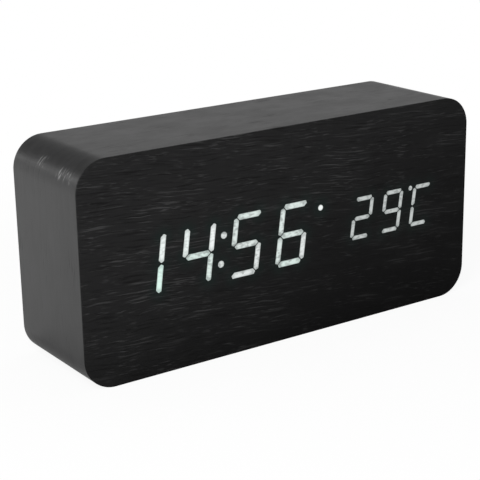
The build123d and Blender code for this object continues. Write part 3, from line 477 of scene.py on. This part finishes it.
def make_side_wrap():
    """The film round the block: loops of the outline from its rolled front edge to its rolled rear edge and back
    along its inner face, sunk in a bell of the distance from the seam where its ends meet underneath."""
    out, back = rolled_edge()
    steps = round((rear_y - core_front) / wrap_step)
    insets = np.concatenate([[wrap_thickness], film_edge * (1 - out), np.zeros(steps + 1),
                             film_edge * (1 - out[::-1]), [wrap_thickness]])
    margin = film_edge + edge_margin
    runs = np.linspace(core_front + margin, rear_y - margin, steps + 1)
    depths = np.concatenate([[core_front], core_front + film_edge * back, runs, rear_y - film_edge * back[::-1],
                             [rear_y]])
    loops = []
    for inset in insets:
        loop = round_corner_loop(case_width - 2 * inset, case_height - 2 * inset, corner_radius - inset)
        underneath = loop[:, 1] < low.z + wrap_thickness
        sunk = seam_depth * np.exp(-((loop[:, 0] - seam_x) / seam_half_width) ** 2)
        loop[:, 1] += np.where(underneath & (inset < film_edge), sunk, 0)
        loops.append(loop)
    count = len(loops[0])
    points = banded(loops, depths)
    faces = grid_faces(len(loops), count, close_rows=True, close_columns=True)[:, ::-1]
    piece = put_mesh("side_grain_wrap", points, faces.tolist())
    way = np.linalg.norm(np.roll(loops[1], -1, axis=0) - loops[1], axis=1)
    along = np.concatenate([[0], np.cumsum(way)])
    give_map(piece, along, depths, count)
    return piece


def give_map(piece, along, depths, count):
    """A map in metres over a closed band: across is the way round it, up is the depth."""
    corners = np.empty(len(piece.data.loops), np.int32)
    piece.data.loops.foreach_get("vertex_index", corners)
    row, column = np.divmod(corners, count)
    by_face = column.reshape(-1, 4)
    wraps = by_face.max(axis=1) - by_face.min(axis=1) > 1
    column = np.where(wraps[:, None] & (by_face == 0), count, by_face).ravel()
    layer = piece.data.uv_layers.new(name="sheet")
    places = np.stack([along[column], np.asarray(depths)[row]], axis=-1)
    layer.data.foreach_set("uv", places.astype(np.float32).ravel())


def make_rear_film():
    """The film on the back: a band between the block's outline and the opening round the cover, with both edges
    rolled over."""
    out, back = rolled_edge()
    rim = [(wrap_thickness, core_rear)]
    rim += [(wrap_thickness + film_edge * (1 - share), rear_y - film_edge * drop)
            for share, drop in zip(out[::-1], back[::-1])]
    loops = [round_corner_loop(case_width - 2 * inset, case_height - 2 * inset, corner_radius - inset)
             for inset, _ in rim]
    depths = [depth for _, depth in rim]
    mouth = [(film_edge * (1 - share), rear_y - film_edge * drop) for share, drop in zip(out, back)]
    mouth.append((0, core_rear))
    for spread, depth in mouth:
        loops.append(round_corner_loop(rear_opening_width + 2 * spread, rear_opening_height + 2 * spread,
                                       rear_opening_radius + spread))
        depths.append(depth)
    faces = grid_faces(len(loops), len(loops[0]), close_rows=True, close_columns=True)[:, ::-1]
    return put_mesh("rear_grain_sheet", banded(loops, depths), faces.tolist())


# Finishes


def add_node(tree, kind, inputs, **settings):
    """A node with its settings, and with numbers or links on its inputs."""
    node = tree.nodes.new("ShaderNode" + kind)
    for key, value in settings.items():
        setattr(node, key, value)
    for key, value in inputs.items():
        if isinstance(value, bpy.types.NodeSocket):
            tree.links.new(value, node.inputs[key])
        else:
            node.inputs[key].default_value = value
    return node


class Finish:
    """A material with short ways to add its nodes."""

    def __init__(self, name, values):
        self.material = bpy.data.materials.new(name)
        self.material.use_nodes = True
        self.tree = self.material.node_tree
        self.shader = self.tree.nodes["Principled BSDF"]
        for socket, value in values.items():
            self.shader.inputs[socket].default_value = value

    def add(self, kind, inputs, **settings):
        """A node of this material."""
        return add_node(self.tree, kind, inputs, **settings)

    def link(self, socket, value):
        """Joins a value to the shader."""
        self.tree.links.new(value, self.shader.inputs[socket])

    def at(self, scale=(1, 1, 1), offset=(0, 0, 0), turn=(0, 0, 0), source="Object"):
        """Places on the piece, or on its map, scaled, turned and then moved."""
        return self.mapped(self.add("TexCoord", {}).outputs[source], scale, offset, turn)

    def mapped(self, vector, scale=(1, 1, 1), offset=(0, 0, 0), turn=(0, 0, 0)):
        """A vector scaled, turned and then moved."""
        inputs = {"Vector": vector, "Scale": scale, "Location": offset, "Rotation": turn}
        return self.add("Mapping", inputs).outputs["Vector"]

    def axes(self, vector):
        """The three numbers of a vector."""
        return self.add("SeparateXYZ", {"Vector": vector}).outputs

    def noise(self, vector, scale=1.0, detail=2.0):
        """Cloudy noise from nought to one, with so many clouds to a metre as the vector and the scale give."""
        return self.add("TexNoise", {"Vector": vector, "Scale": scale, "Detail": detail}).outputs["Fac"]

    def cells(self, vector, scale):
        """The distance to the middle of the nearest of many scattered cells."""
        return self.add("TexVoronoi", {"Vector": vector, "Scale": scale}).outputs["Distance"]

    def span(self, value, start, end, first=0.0, last=1.0):
        """A value eased from first to last while it goes from start to end."""
        inputs = {"Value": value, "From Min": start, "From Max": end, "To Min": first, "To Max": last}
        return self.add("MapRange", inputs, interpolation_type="SMOOTHSTEP").outputs["Result"]

    def reckon(self, operation, first, second=0.0):
        """One step of arithmetic."""
        return self.add("Math", {0: first, 1: second}, operation=operation).outputs["Value"]

    def plus(self, first, second):
        """Two values added."""
        return self.reckon("ADD", first, second)

    def minus(self, first, second):
        """One value less another."""
        return self.reckon("SUBTRACT", first, second)

    def times(self, first, second):
        """Two values multiplied."""
        return self.reckon("MULTIPLY", first, second)

    def larger(self, first, second):
        """The larger of two values."""
        return self.reckon("MAXIMUM", first, second)

    def mix(self, share, first, second):
        """A colour between two."""
        first, second = ((*colour, 1.0) if isinstance(colour, tuple) else colour for colour in (first, second))
        return self.add("Mix", {0: share, 6: first, 7: second}, data_type="RGBA").outputs[2]

    def attribute(self, name):
        """A number that the piece carries."""
        return self.add("Attribute", {}, attribute_name=name).outputs["Fac"]

    def relief(self, height, depth):
        """Bumps from a height of nought to one, by their depth in metres."""
        bump = self.add("Bump", {"Height": height, "Distance": depth, "Strength": 1.0})
        self.link("Normal", bump.outputs["Normal"])

    def box_share(self, value, centre, half, edge):
        """One inside a stretch about a centre, nought outside it, with an eased edge."""
        away = self.reckon("ABSOLUTE", self.minus(value, centre))
        return self.span(away, half - edge, half + edge, 1.0, 0.0)


def grain(finish, base, pale, dark, offset):
    """Wood grain along X, falling a little to the right: short pale flecks with sunk pores under them, in gently
    waving clusters, in colour and in relief; the pores' dark colour is painted shadow under the flecks. The height
    that the flecks follow is Z plus a slow sway, a quick ripple and a share of X."""
    x, _, z = finish.axes(finish.at(offset=offset))
    sway = finish.noise(finish.at((22, 1, 30), offset))
    ripple = finish.noise(finish.at((120, 1, 160), offset), detail=1.0)
    shift = finish.plus(finish.times(sway, grain_sway), finish.times(ripple, grain_ripple))
    shift = finish.plus(shift, finish.times(x, grain_fall))
    bent = finish.add("CombineXYZ", {"X": x, "Z": finish.plus(z, shift)}).outputs["Vector"]
    long_fleck = finish.span(finish.noise(finish.mapped(bent, (80, 1, 1700))), 0.53, 0.69)
    short_fleck = finish.span(finish.noise(finish.mapped(bent, (230, 1, 2000), (7, 0, 3))), 0.52, 0.72)
    cluster = finish.span(finish.noise(finish.mapped(bent, (30, 1, 135), (3, 0, 9)), detail=3.0), 0.45, 0.64)
    spot = finish.span(finish.noise(finish.mapped(bent, (60, 1, 260), (11, 0, 5))), 0.40, 0.66)
    pore = finish.span(finish.noise(finish.mapped(bent, (95, 1, 1800), (0, 0, 0.5))), 0.50, 0.70)
    bright = finish.plus(finish.times(long_fleck, cluster), finish.times(short_fleck, spot))
    # The pores' dark colour is painted shadow under the flecks; their sinking below is real relief
    colour = finish.mix(finish.times(pore, 0.7), base, dark)
    colour = finish.mix(bright, colour, pale)
    finish.relief(finish.minus(bright, pore), grain_relief)
    return colour, cluster


def front_grain():
    """Black grain film, with painted shade darkening it toward the lower right, and a trace of dark green where
    light leaks round the figures."""
    finish = Finish("black_grain_film", {"Specular IOR Level": 0.05})
    x, _, z = finish.axes(finish.at())
    # Painted shade: the film's black and its flecks darken toward the lower right, in place of light falling off
    # across the front
    slope = finish.minus(x, finish.times(z, painted_shade_rise))
    painted_shade = finish.span(slope, painted_shade_start, painted_shade_end)
    base = finish.mix(painted_shade, front_black, front_painted_shade_black)
    pale = finish.mix(painted_shade, front_fleck, front_painted_shade_fleck)
    colour, cluster = grain(finish, base, pale, front_pore_shadow, (0, 0, 0))
    colour = finish.mix(finish.times(finish.attribute("halo"), 0.7), colour, front_leak)
    finish.link("Base Color", colour)
    finish.link("Roughness", finish.span(cluster, 0.0, 1.0, 0.66, 0.52))
    return finish.material


def rear_grain():
    """The same grain on the back, a little greyer."""
    finish = Finish("rear_grain_film", {"Specular IOR Level": 0.32})
    colour, cluster = grain(finish, rear_black, rear_fleck, rear_pore_shadow, (0.4, 0, 0.3))
    finish.link("Base Color", colour)
    finish.link("Roughness", finish.span(cluster, 0.0, 1.0, 0.58, 0.46))
    return finish.material


def side_grain():
    """Smooth charcoal film: faint streaks and short fine pores along it, soft blotches and two patches of pale
    slanted scuffs under the top left corner."""
    finish = Finish("charcoal_grain_film", {"Specular IOR Level": 0.26})
    streak = finish.noise(finish.at((70, 700, 1), source="UV"), detail=3.0)
    blotch = finish.noise(finish.at((260, 420, 1), (5, 8, 0), source="UV"), detail=3.0)
    cloud = finish.noise(finish.at((75, 120, 1), (2, 6, 0), source="UV"))
    cluster = finish.span(finish.noise(finish.at((45, 160, 1), (9, 3, 0), source="UV")), 0.46, 0.66)
    pore = finish.span(finish.noise(finish.at((110, 1500, 1), (4, 7, 0), source="UV")), 0.54, 0.70)
    pore = finish.times(pore, cluster)
    tone = finish.plus(finish.times(streak, 0.5), finish.times(blotch, 0.5))
    colour = finish.mix(finish.span(tone, 0.32, 0.68), side_charcoal, side_streak)
    x, y, z = finish.axes(finish.at())
    leaning = finish.mapped(finish.at(turn=(scuff_lean, 0, 0)), (1, 1500, 330), (0, 4.1, 2.3))
    stroke = finish.span(finish.noise(leaning, detail=1.0), 0.53, 0.68)
    patches = []
    for centre_y, half_y, centre_z, half_z in scuff_patches:
        across = finish.box_share(y, centre_y, half_y, 1.0 * mm)
        upward = finish.box_share(z, centre_z, half_z, 0.8 * mm)
        patches.append(finish.times(across, upward))
    patch = finish.larger(*patches)
    on_left = finish.span(x, scuff_start_x, scuff_full_x)
    scuff = finish.times(finish.times(stroke, patch), on_left)
    finish.link("Base Color", finish.mix(scuff, colour, scuff_pale))
    soft = finish.plus(finish.times(blotch, 0.35), finish.times(cloud, 0.65))
    soft = finish.span(soft, 0.30, 0.70, 0.285, 0.355)
    finish.link("Roughness", finish.plus(soft, finish.times(pore, 0.16)))
    height = finish.plus(finish.times(streak, 0.6), finish.times(blotch, 0.4))
    finish.relief(finish.minus(height, finish.times(pore, 1.4)), 0.014 * mm)
    return finish.material


def light_through_film():
    """Light behind the film: white with mint where the bar says so, dimmed by group, mottled by the grain and
    softer at the rim."""
    finish = Finish("white_glow", {"Base Color": (0.01, 0.01, 0.01, 1), "Roughness": 0.6,
                                   "Specular IOR Level": 0.1, "Emission Strength": 1.0})
    colour = finish.mix(finish.attribute("mint"), glow_white, glow_mint)
    dimming = finish.attribute("dimming")
    colour = finish.mix(dimming, colour, glow_dim)
    pore = finish.noise(finish.at((620, 1, 1000)))
    cloud = finish.noise(finish.at((260, 1, 260)), detail=1.0)
    speck = finish.times(finish.span(pore, 0.42, 0.62), finish.span(cloud, 0.30, 0.55))
    mottle = finish.times(speck, finish.span(dimming, 0.0, 0.3, 0.26, 0.72))
    colour = finish.mix(mottle, colour, glow_speck)
    edge = finish.span(finish.attribute("reach"), 0.55, 1.0, 0.0, 0.42)
    finish.link("Emission Color", finish.mix(edge, colour, glow_rim))
    return finish.material


def moulded(name, colour, roughness, speck, depth):
    """Moulded plastic with a fine sparked texture, in relief and in gloss, and a slight unevenness of tone."""
    finish = Finish(name, {})
    place = finish.at()
    spark = finish.span(finish.noise(place, 1 / speck), 0.35, 0.65)
    cloud = finish.noise(place, 140)
    tone = finish.plus(finish.times(spark, 0.55), finish.times(cloud, 0.45))
    light = tuple(channel * 1.35 for channel in colour)
    dark = tuple(channel * 0.70 for channel in colour)
    finish.link("Base Color", finish.mix(tone, dark, light))
    finish.link("Roughness", finish.span(tone, 0.25, 0.75, roughness + 0.08, roughness - 0.08))
    finish.relief(spark, depth)
    return finish.material


def marked_key(name, box):
    """Smooth black key with worn pale paint on the top of its raised mark."""
    finish = Finish(name, {"Roughness": 0.34})
    y = finish.axes(finish.at())[1]
    raised = finish.span(y, box[1].y - 0.06 * mm, box[1].y - 0.04 * mm)
    cloud = finish.noise(finish.at(), 900)
    worn = finish.span(finish.noise(finish.at(), 3500, detail=3.0), 0.25, 0.45, 0.55, 1.0)
    black = finish.mix(cloud, (0.020, 0.020, 0.021), (0.028, 0.028, 0.029))
    finish.link("Base Color", finish.mix(finish.times(raised, worn), black, (0.42, 0.42, 0.41)))
    finish.relief(cloud, 0.006 * mm)
    return finish.material


def metal(name, colour, roughness, brushed):
    """Bright or dull metal with fine drawing lines, so many to a metre each way."""
    finish = Finish(name, {"Metallic": 1.0})
    line = finish.noise(finish.at(brushed), detail=3.0)
    dark = tuple(channel * 0.78 for channel in colour)
    finish.link("Base Color", finish.mix(line, dark, colour))
    finish.link("Roughness", finish.span(line, 0.3, 0.7, roughness - 0.08, roughness + 0.08))
    finish.relief(line, 0.004 * mm)
    return finish.material


def fibreboard():
    """Bare cut fibreboard: brown with short fibres."""
    finish = Finish("cut_fibreboard", {"Specular IOR Level": 0.2, "Roughness": 0.85})
    fibre = finish.noise(finish.at((1500, 3000, 2200)), detail=4.0)
    cloud = finish.noise(finish.at(), 220)
    finish.link("Base Color", finish.mix(finish.times(fibre, cloud), (0.20, 0.13, 0.075), (0.62, 0.48, 0.32)))
    finish.relief(fibre, 0.05 * mm)
    return finish.material


def circuit_board(name):
    """Green solder mask over copper lines, in patches."""
    finish = Finish(name, {"Specular IOR Level": 0.5, "Roughness": 0.38})
    brick = finish.add("TexBrick", {"Vector": finish.at((330, 330, 330), turn=(math.pi / 2, 0, 0)), "Scale": 1.0,
                                    "Mortar Size": 0.12, "Brick Width": 1.7, "Row Height": 0.55})
    patch = finish.span(finish.noise(finish.at((420, 1, 420)), 0.25, detail=1.0), 0.42, 0.5)
    trace = finish.times(brick.outputs["Fac"], patch)
    finish.link("Base Color", finish.mix(trace, (0.010, 0.075, 0.030), (0.035, 0.20, 0.075)))
    finish.relief(trace, 0.03 * mm)
    return finish.material


def chip(name, box, half_body):
    """Black moulded body with a fine grain, and tinned legs beyond its two long sides."""
    finish = Finish(name, {})
    z = finish.axes(finish.at())[2]
    body = finish.box_share(z, (box[0].z + box[1].z) / 2, half_body, 0.02 * mm)
    speck = finish.noise(finish.at(), 5000)
    black = finish.mix(speck, (0.018, 0.018, 0.019), (0.040, 0.040, 0.042))
    finish.link("Base Color", finish.mix(body, (0.62, 0.61, 0.58), black))
    finish.link("Metallic", finish.minus(1.0, body))
    finish.link("Roughness", finish.span(body, 0.0, 1.0, 0.28, 0.6))
    finish.relief(speck, 0.008 * mm)
    return finish.material


def layered(name, axis, edge, low_colour, high_colour, low_metal, high_metal, roughness):
    """Two finishes that meet at a height along one axis, as a metal frame on a plastic body."""
    finish = Finish(name, {"Roughness": roughness})
    value = finish.axes(finish.at())[axis]
    upper = finish.span(value, edge - 0.01 * mm, edge + 0.01 * mm)
    grit = finish.noise(finish.at(), 3000)
    dull = finish.mix(grit, tuple(channel * 0.8 for channel in low_colour), low_colour)
    clear = finish.mix(grit, tuple(channel * 0.85 for channel in high_colour), high_colour)
    finish.link("Base Color", finish.mix(upper, dull, clear))
    finish.link("Metallic", finish.span(upper, 0.0, 1.0, low_metal, high_metal))
    finish.relief(grit, 0.006 * mm)
    return finish.material


def round_faced(name, box, radius, face_colour, ring_colour, ring_metal):
    """A round can seen from behind: one finish within a radius of its axis, another on its ring."""
    finish = Finish(name, {"Roughness": 0.4})
    x, _, z = finish.axes(finish.at(offset=(-(box[0] + box[1]) / 2).to_tuple()))
    away = finish.reckon("SQRT", finish.plus(finish.times(x, x), finish.times(z, z)))
    ring = finish.span(away, radius - 0.03 * mm, radius + 0.03 * mm)
    felt = finish.noise(finish.at(), 6000, detail=3.0)
    finish.link("Base Color", finish.mix(ring, finish.mix(felt, (0.01, 0.01, 0.01), face_colour), ring_colour))
    finish.link("Metallic", finish.span(ring, 0.0, 1.0, 0.0, ring_metal))
    finish.relief(felt, 0.02 * mm)
    return finish.material


def cell_jacket(name, box, nub_to_left):
    """A battery's printed jacket: graphite, a teal band with a thin pale line toward the nub, and bare bright
    metal at both ends."""
    finish = Finish(name, {})
    x = finish.axes(finish.at())[0]
    start, end = (box[1].x, box[0].x) if nub_to_left else (box[0].x, box[1].x)
    way = finish.add("MapRange", {"Value": x, "From Min": start, "From Max": end}).outputs["Result"]
    band = finish.span(way, 0.690, 0.694)
    line = finish.box_share(way, 0.672, 0.006, 0.001)
    second = finish.box_share(way, 0.10, 0.03, 0.001)
    bare = finish.larger(finish.span(way, 0.022, 0.019), finish.span(way, 0.966, 0.969))
    scratch = finish.noise(finish.at((160, 1500, 1500)), detail=3.0)
    jacket = finish.mix(scratch, (0.050, 0.055, 0.065), (0.075, 0.080, 0.092))
    jacket = finish.mix(band, jacket, (0.020, 0.170, 0.190))
    jacket = finish.mix(finish.larger(line, second), jacket, (0.62, 0.63, 0.62))
    finish.link("Base Color", finish.mix(bare, jacket, (0.70, 0.70, 0.69)))
    finish.link("Metallic", finish.span(bare, 0.0, 1.0, 0.35, 1.0))
    finish.link("Roughness", finish.span(scratch, 0.3, 0.7, 0.24, 0.34))
    finish.relief(scratch, 0.005 * mm)
    return finish.material


def ribbon(box):
    """Grey ribbon cable: a ridge for each wire across its width, darker in the grooves between wires as painted
    shade, and one red edge.
    """
    finish = Finish("ribbon_cable", {"Roughness": 0.5, "Specular IOR Level": 0.4})
    z = finish.axes(finish.at())[2]
    waves = math.pi * ribbon_wires / (box[1].z - box[0].z)
    ridge = finish.reckon("ABSOLUTE", finish.reckon("SINE", finish.times(z, waves)))
    red = finish.span(z, box[1].z - 1.2 * mm, box[1].z - 1.1 * mm)
    # Painted shade: the grey darkens from each wire's top down into the grooves between the wires
    groove_shaded_grey = finish.mix(ridge, (0.20, 0.20, 0.21), (0.42, 0.43, 0.45))
    finish.link("Base Color", finish.mix(red, groove_shaded_grey, (0.45, 0.03, 0.02)))
    finish.relief(ridge, 0.15 * mm)
    return finish.material


def milky():
    """Milky cast resin that light comes through."""
    finish = Finish("milky_resin", {"Roughness": 0.3, "Subsurface Weight": 0.4, "Subsurface Scale": 0.002})
    cloud = finish.noise(finish.at(), 900)
    finish.link("Base Color", finish.mix(cloud, (0.74, 0.76, 0.72), (0.88, 0.90, 0.86)))
    finish.relief(cloud, 0.02 * mm)
    return finish.material


def foam():
    """Closed-cell foam: small open cells cut on its faces, darker where they are lowest as painted shade."""
    finish = Finish("closed_cell_foam", {"Roughness": 0.9, "Specular IOR Level": 0.15})
    cell = finish.cells(finish.at(), 3200)
    # Painted shade: the black darkens toward the low borders between the cells
    hollow_shade = finish.span(cell, 0.1, 0.6)
    finish.link("Base Color", finish.mix(hollow_shade, (0.045, 0.045, 0.045), (0.018, 0.018, 0.018)))
    finish.relief(finish.span(cell, 0.0, 0.7, 1.0, 0.0), 0.08 * mm)
    return finish.material


# Dressing


def dress(node, material):
    """Gives a CAD node its material."""
    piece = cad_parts[node]
    if not piece.material_slots:
        piece.data.materials.append(material)
    for slot in piece.material_slots:
        slot.material = material


def stand_in(piece, node, body, material):
    """A new piece in a node's place, riding on its body."""
    piece.data.materials.append(material)
    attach(piece, body)
    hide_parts(node)


def dress_films():
    """The three films."""
    stand_in(make_front_film(), "front_film", "clock", front_grain())
    stand_in(make_side_wrap(), "side_wrap", "clock", side_grain())
    stand_in(make_rear_film(), "rear_film", "clock", rear_grain())
    dress("case_core", fibreboard())


def dress_figures():
    """The lit figures, each group at its own brightness."""
    glow = light_through_film()
    for name, tiles in lit_tiles.items():
        stand_in(make_figure(name, tiles), name, "clock", glow)


def dress_back():
    """The rear cover, the door, the keys and what shows in the cover."""
    dress("rear_cover", moulded("sparked_black_plastic", (0.021, 0.021, 0.0215), 0.46, 0.55 * mm, 0.030 * mm))
    dress("battery_door", moulded("sparked_door_plastic", (0.022, 0.022, 0.0225), 0.44, 0.55 * mm, 0.030 * mm))
    stem = moulded("white_stem_plastic", (0.62, 0.62, 0.60), 0.40, 0.5 * mm, 0.004 * mm)
    for key in ("set", "up", "down"):
        dress(key + "_button", marked_key(key + "_key_plastic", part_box(key + "_button")))
        dress(key + "_plunger", stem)
        frame_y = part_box(key + "_switch")[1].y - 0.3 * mm
        dress(key + "_switch", layered(key + "_switch_body", 1, frame_y, (0.03, 0.03, 0.03), (0.66, 0.66, 0.64),
                                       0.0, 1.0, 0.35))
    dress("cover_screws", metal("black_oxide_steel", (0.19, 0.19, 0.195), 0.34, (2500, 2500, 2500)))
    dress("dc_jack", moulded("glossy_inlet_plastic", (0.016, 0.016, 0.016), 0.25, 0.6 * mm, 0.004 * mm))
    dress("dc_jack_pin", metal("inlet_pin_nickel", (0.74, 0.73, 0.70), 0.22, (600, 300, 600)))


def dress_cells():
    """The cells, their contacts and their leads."""
    for name, nub_to_left in (("top_cell", True), ("middle_cell", False), ("bottom_cell", True)):
        dress(name, cell_jacket(name + "_jacket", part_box(name), nub_to_left))
    nickel = metal("spring_nickel", (0.76, 0.75, 0.72), 0.24, (500, 2500, 900))
    for name in ("positive_contact", "negative_contact", "left_bridge", "right_bridge"):
        dress(name, nickel)
    dress("red_lead", moulded("red_wire_jacket", (0.50, 0.022, 0.016), 0.38, 0.8 * mm, 0.006 * mm))
    dress("black_lead", moulded("black_wire_jacket", (0.022, 0.022, 0.022), 0.38, 0.8 * mm, 0.006 * mm))


def dress_display():
    """The display module behind the film."""
    dress("display_housing", moulded("white_reflector_plastic", (0.80, 0.80, 0.78), 0.28, 0.5 * mm, 0.005 * mm))
    filling = milky()
    dress("time_diffusers", filling)
    dress("temperature_diffusers", filling)
    dress("display_board", circuit_board("display_board_mask"))
    dress("display_gasket", foam())
    zinc = metal("bright_zinc", (0.70, 0.69, 0.64), 0.30, (1800, 1800, 1800))
    dress("display_screws", zinc)
    dress("board_screws", zinc)
    dress("display_driver", chip("display_driver_body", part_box("display_driver"), 3.75 * mm))
    dress("led_chips", moulded("phosphor_resin", (0.74, 0.66, 0.26), 0.22, 0.3 * mm, 0.006 * mm))


def dress_main_board():
    """The main board and what stands on it."""
    dress("main_board", circuit_board("main_board_mask"))
    dress("microcontroller", chip("microcontroller_body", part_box("microcontroller"), 3.75 * mm))
    dress("crystal", metal("drawn_can", (0.74, 0.73, 0.70), 0.20, (300, 1600, 1600)))
    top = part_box("capacitor")[0].y + 0.45 * mm
    dress("capacitor", layered("capacitor_sleeve", 1, top, (0.70, 0.70, 0.69), (0.030, 0.045, 0.090), 1.0, 0.0,
                               0.34))
    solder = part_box("surface_parts")[1].y - 0.12 * mm
    dress("surface_parts", layered("chip_ceramic_on_solder", 1, solder, (0.10, 0.085, 0.070), (0.60, 0.60, 0.58),
                                   0.0, 1.0, 0.36))
    dress("buzzer", round_faced("buzzer_case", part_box("buzzer"), 1.6 * mm, (0.015, 0.015, 0.015),
                                (0.030, 0.030, 0.031), 0.0))
    dress("microphone", round_faced("microphone_capsule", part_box("microphone"), 2.5 * mm, (0.05, 0.05, 0.05),
                                    (0.74, 0.74, 0.73), 1.0))
    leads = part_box("thermistor")[0].y + 2.0 * mm
    dress("thermistor", layered("thermistor_bead", 1, leads, (0.66, 0.64, 0.60), (0.020, 0.018, 0.017), 1.0, 0.0,
                                0.3))
    dress("ribbon_sockets", moulded("natural_nylon", (0.66, 0.62, 0.50), 0.36, 0.5 * mm, 0.006 * mm))
    dress("display_ribbon", ribbon(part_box("display_ribbon")))


# Studio


def add_lamp(name, place, size, watts):
    """A soft square lamp that looks at the middle of the clock."""
    lamp = bpy.data.objects.new(name, bpy.data.lights.new(name, "AREA"))
    lamp.data.size = size
    lamp.data.energy = watts
    lamp.location = place
    aim = Vector((0, 0, middle_z)) - Vector(place)
    lamp.rotation_euler = aim.to_track_quat("-Z", "Y").to_euler()
    bpy.context.scene.collection.objects.link(lamp)


def add_camera():
    """The camera: its forward way is (sine heading times cosine pitch, cosine heading times cosine pitch, sine
    pitch), and it is then rolled about that."""
    lens = bpy.data.cameras.new("photograph_camera")
    lens.lens = camera_lens
    lens.sensor_width = camera_sensor
    camera = bpy.data.objects.new("photograph_camera", lens)
    level = math.cos(camera_pitch)
    ahead = Vector((math.sin(camera_heading) * level, math.cos(camera_heading) * level, math.sin(camera_pitch)))
    turn = ahead.to_track_quat("-Z", "Y").to_matrix().to_4x4() @ Matrix.Rotation(camera_roll, 4, "Z")
    camera.matrix_world = Matrix.Translation(camera_place) @ turn
    bpy.context.scene.collection.objects.link(camera)
    bpy.context.scene.camera = camera


def make_floor():
    """A wide plain floor at the clock's foot, a flat sheet of even squares."""
    line = np.linspace(-floor_half_width, floor_half_width, floor_lines)
    x, y = np.meshgrid(line, line)
    points = np.stack([x, y, np.full_like(x, low.z)], axis=-1).reshape(-1, 3)
    floor = put_mesh("studio_floor", points, grid_faces(floor_lines, floor_lines).tolist())
    floor.data.materials.append(floor_white())


def floor_white():
    """Pale floor. To the camera it is white, with a small share of its own shading near the clock that keeps the
    clock's shadow. In reflections it goes from the clock's shade at its foot to white further out. Both go by the
    distance outside the clock's footprint: the root of the sum of the squares of how far X and Y lie beyond it."""
    finish = Finish("studio_floor_white", {"Base Color": (0.75, 0.75, 0.75, 1), "Roughness": 0.9,
                                           "Specular IOR Level": 0.0})
    x, y, _ = finish.axes(finish.at())
    beside, before = (finish.larger(finish.minus(finish.reckon("ABSOLUTE", value), size / 2), 0.0)
                      for value, size in ((x, case_width), (y, case_depth)))
    away = finish.reckon("SQRT", finish.plus(finish.times(beside, beside), finish.times(before, before)))
    ray = finish.add("LightPath", {}).outputs
    seen = finish.times(ray["Is Camera Ray"], finish.span(away, 0.05, 0.25, 0.92, 1.0))
    mirrored = finish.larger(ray["Is Glossy Ray"], ray["Is Transmission Ray"])
    share = finish.larger(seen, mirrored)
    shade = finish.times(finish.span(away, 0.0, 0.022, 0.44, 1.0), finish.span(away, 0.02, 0.14, 0.87, 1.0))
    level = finish.larger(ray["Is Camera Ray"], shade)
    white = finish.add("Emission", {"Color": (1, 1, 1, 1), "Strength": level})
    finish.material.cycles.emission_sampling = "NONE"
    blend = finish.add("MixShader", {0: share, 1: finish.shader.outputs[0], 2: white.outputs[0]})
    finish.tree.links.new(blend.outputs[0], finish.tree.nodes["Material Output"].inputs["Surface"])
    return finish.material


def set_world():
    """A white room: plain white to the camera, an even level on the clock, and in reflections white below the
    horizon, easing to dim overhead, and a little less white in its far right corner."""
    world = bpy.data.worlds.new("white_room")
    bpy.context.scene.world = world
    world.use_nodes = True
    tree = world.node_tree
    way = add_node(tree, "TexCoord", {}).outputs["Generated"]
    rise = add_node(tree, "SeparateXYZ", {"Vector": way}).outputs["Z"]
    mirrored = add_node(tree, "MapRange", {"Value": rise, "From Min": room_edge_low, "From Max": room_edge_high,
                                           "To Min": 1.0, "To Max": room_overhead},
                        interpolation_type="SMOOTHSTEP").outputs["Result"]
    toward = add_node(tree, "VectorMath", {0: way, 1: room_corner_way}, operation="DOT_PRODUCT").outputs["Value"]
    corner = add_node(tree, "MapRange", {"Value": toward, "From Min": room_corner_start,
                                         "From Max": room_corner_end, "To Min": 1.0,
                                         "To Max": room_corner_level}).outputs["Result"]
    mirrored = add_node(tree, "Math", {0: mirrored, 1: corner}, operation="MULTIPLY").outputs[0]
    ray = add_node(tree, "LightPath", {}).outputs
    gloss = add_node(tree, "Math", {0: ray["Is Glossy Ray"], 1: ray["Is Transmission Ray"]},
                     operation="MAXIMUM").outputs[0]
    level = add_node(tree, "Mix", {0: gloss, 2: room_level, 3: mirrored}, data_type="FLOAT").outputs[0]
    level = add_node(tree, "Mix", {0: ray["Is Camera Ray"], 2: level, 3: 1.0}, data_type="FLOAT").outputs[0]
    back = tree.nodes["Background"]
    back.inputs["Color"].default_value = (1, 1, 1, 1)
    tree.links.new(level, back.inputs["Strength"])


dress_films()
dress_figures()
dress_back()
dress_cells()
dress_display()
dress_main_board()
make_floor()
set_world()
for lamp in lamps:
    add_lamp(*lamp)
add_camera()
bpy.context.scene.view_settings.view_transform = "Standard"
